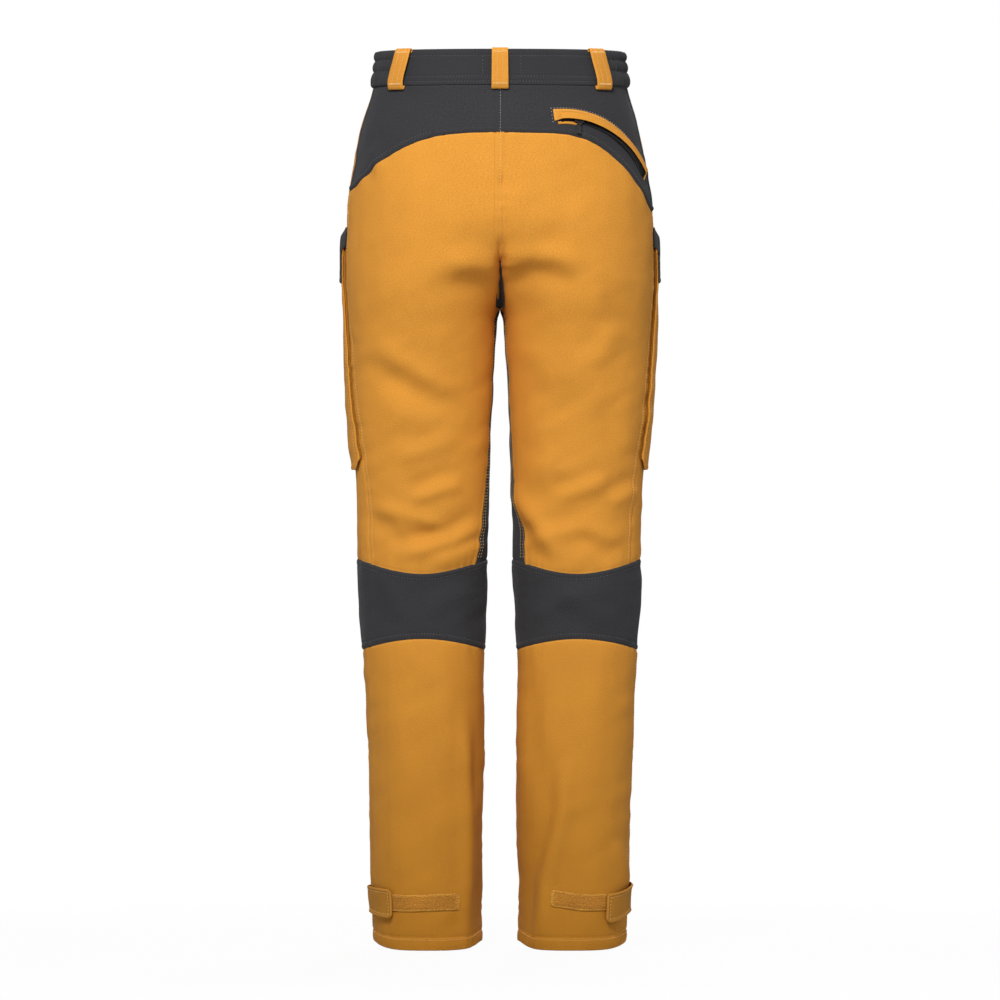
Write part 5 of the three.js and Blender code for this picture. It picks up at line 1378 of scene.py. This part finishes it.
loop_fuzz = fuzz_tree()
for side, sign in SIDES.items():
    tip = TAB_TIP[side]
    first, last = tip + 17, STRIP_END[side]
    length = (first - last) * 1.27
    u = np.concatenate([[0, 0.006, 0.02], np.linspace(0.045, 0.955, 46), [0.975, 0.985, 0.993, 0.998, 1]])[None, :]
    v = np.array([-1, -0.95, -0.85, -0.72, -0.66, -0.45, -0.2, 0, 0.2, 0.45, 0.66, 0.72, 0.85, 0.95, 1])[:, None]
    angle = mix(first, last, u) + 0 * v
    half = end_half(np.minimum(u, 1 - u) * length, 9.8, 4.5)
    z = TAB_LEVEL + strip_sag(side, angle) + v * half
    edge = np.minimum((1 - abs(v)) * half, np.minimum(u, 1 - u) * length)
    over = 1.5 - 0.5 * np.exp(-(edge / 0.6) ** 2) - 0.35 * np.exp(-((edge - 2.6) / 0.8) ** 2)
    tab_sheet(f"loop_strip_tape_{side}", sign, angle, z, over, 0.25, 0.3 * (edge < 2.2), fuzzy,
              f"{side}_shin", f"hem_loop_strip_{side}")
    angle = mix(first, last, np.linspace(0.05, 0.95, 60))[None, :] + 0 * v[2:-2]
    z = TAB_LEVEL + strip_sag(side, angle) + v[2:-2] * 8.2
    face = cloth_point(sign, angle, z, 1.45 + 0 * v[2:-2])[0]
    face *= 0.001
    index = quads(np.arange(face[..., 0].size).reshape(face.shape[:2]))
    across, along, spoke = face[0, 1] - face[0, 0], face[1, 0] - face[0, 0], face[0, 0] * (1, 1, 0)
    if np.dot(np.cross(across, along), spoke - (sign * 0.085, 0, 0)) < 0:
        index = index[:, ::-1]
    made = grown(loop_fuzz, f"loop_strip_fuzz_{side}", face.reshape(-1, 3), [], index.tolist(), None, {
        "Per square metre": 2.6e6, "Height": 0.0010, "Thickness": 0.00042, "Seed": 5, "Loops": fuzzy})
    join(made, f"{side}_shin")

    length = (TAB_ROOT - tip) * 1.29
    u = np.concatenate([[0, 0.008, 0.02], np.linspace(0.05, 0.88, 30), [0.91, 0.935, 0.955, 0.97, 0.98, 0.988, 0.994, 0.998, 1]])[None, :]
    v = np.array([-1, -0.97, -0.92, -0.85, -0.77, -0.6, -0.35, 0, 0.35, 0.6, 0.77, 0.85, 0.92, 0.97, 1])[:, None]
    angle = mix(TAB_ROOT, tip, u) + 0 * v
    half = end_half((1 - u) * length, 17.5, 6.5)
    z = TAB_LEVEL + tab_sag(side, angle) + v * half
    edge = np.minimum((1 - abs(v)) * half, (1 - u) * length)
    under = mix(0.6, 3.4, smooth(u / 0.4)) + 0 * v
    over = under + 1.3 + 0.9 * np.exp(-((edge - 1.7) / 1.1) ** 2) - 0.55 * np.exp(-(edge / 0.5) ** 2) - 0.25 * np.exp(-((edge - 4.6) / 0.9) ** 2)
    # The tab is drawn in the darker ochre: painted shade.
    tab_sheet(f"hem_tab_cloth_{side}", sign, angle, z, over, under,
              0.8 * np.exp(-((edge - 1) / 1.1) ** 2), shaded,
              f"{side}_hem_tab", f"hem_tab_{side}")
    t = np.linspace(0.08, 0.93, 50)
    turn = mix(TAB_ROOT, tip, t)
    w = np.linspace(-12, 12, 14)
    rows = [cloth_point(sign, turn, TAB_LEVEL + tab_sag(side, turn) + up, out) for turn, up, out in (
        (turn, -12.9, mix(0.6, 3.4, smooth(t / 0.4)) + 1.4),
        (turn, 12.9, mix(0.6, 3.4, smooth(t / 0.4)) + 1.4),
        (tip + 3.8 + 0 * w, w, 4.8 + 0 * w), (TAB_ROOT - 2.5 + 0 * w, w, 2.0 + 0 * w))]
    sew(f"hem_tab_thread_{side}", rows, tonal_thread, f"{side}_hem_tab")

    u, v = np.linspace(0, 1, 12)[None, :], np.linspace(-1, 1, 9)[:, None]
    angle = mix(tip + 16, tip + 2.5, u) + 0 * v
    z = TAB_LEVEL + tab_sag(side, angle) + 9.0 * v
    tab_sheet(f"hook_patch_{side}", sign, angle, z, 3.2, 2.5 + 0.15 * np.sin(angle * 9) * np.sin(z * 3), 0,
              fuzzy, f"{side}_hem_tab", f"hem_hook_{side}")

# ---- Floor, lights and camera --------------------------------------------------------------------
# A pale floor just under the hems, a wide soft light above and behind the camera, a weaker one on
# each side, and an even pale surround.

FLOOR = -1.0528
floor_mesh = bpy.data.meshes.new("floor")
floor_mesh.from_pydata([(-2, -2, FLOOR), (2, -2, FLOOR), (2, 2, FLOOR), (-2, 2, FLOOR)], [], [(0, 1, 2, 3)])
pale, tree, paper = new_material("floor_paper")
wire(tree, paper, {"Base Color": (0.5, 0.5, 0.5, 1), "Roughness": 0.9})
middle = node(tree, "ShaderNodeMapping", "Vector", {
    "Vector": node(tree, "ShaderNodeTexCoord", "Object"),
    "Location": (0, 0, -FLOOR / 1.6), "Scale": (1 / 1.6, 1 / 1.6, 1 / 1.6)})
spot = node(tree, "ShaderNodeTexGradient", "Fac", {"Vector": middle}, gradient_type="SPHERICAL")
soft_edge = node(tree, "ShaderNodeMapRange", "Result", {"Value": spot, "From Max": 0.55},
                 interpolation_type="SMOOTHSTEP")
looked_at = node(tree, "ShaderNodeLightPath", "Is Camera Ray")
mostly = node(tree, "ShaderNodeMath", 0, {0: looked_at, 1: 0.96}, operation="MULTIPLY")
glow = node(tree, "ShaderNodeEmission", 0)
white = node(tree, "ShaderNodeMixShader", 0, {0: mostly, 1: paper.outputs[0], 2: glow})
clear = node(tree, "ShaderNodeBsdfTransparent", 0)
faded = node(tree, "ShaderNodeMixShader", 0, {0: soft_edge, 1: clear, 2: white})
wire(tree, tree.nodes["Material Output"], {"Surface": faded})
floor_mesh.materials.append(pale)
show("floor", floor_mesh)

world = bpy.data.worlds.new("studio")
bpy.context.scene.world = world
world.use_nodes = True
sky = world.node_tree
surround = wire(sky, sky.nodes["Background"], {"Color": (1, 1, 1, 1), "Strength": 0.24}).outputs[0]
seen = node(sky, "ShaderNodeBackground", 0, {"Color": (1, 1, 1, 1), "Strength": 1.0})
path = node(sky, "ShaderNodeLightPath", "Is Camera Ray")
choose = node(sky, "ShaderNodeMixShader", 0, {0: path, 1: surround, 2: seen})
wire(sky, sky.nodes["World Output"], {"Surface": choose})

for name, place, size, power in (("key", (-0.4, -2.4, 1.4), 0.8, 75), ("fill", (1.5, -1.8, 0.1), 1.2, 4),
                                 ("front", (0.4, 2.4, 1.4), 0.8, 75), ("side", (-2.3, 0.4, 0.6), 1.4, 5),
                                 ("far_side", (2.3, 0.4, 0.6), 1.4, 5)):
    light = bpy.data.lights.new(name, "AREA")
    light.size = size
    light.energy = power
    lamp = show(name, light)
    lamp.location = place
    aim = np.array([0, 0, -0.45]) - np.array(place)
    lamp.rotation_euler = Vector(aim).to_track_quat("-Z", "Y").to_euler()

bpy.context.scene.view_settings.view_transform = "Standard"
camera = show("camera", bpy.data.cameras.new("camera"))
camera.data.lens = 368
camera.data.sensor_width = 36
camera.location = (0, -12, -0.5257)
camera.rotation_euler = (np.pi / 2, 0, 0)
bpy.context.scene.camera = camera
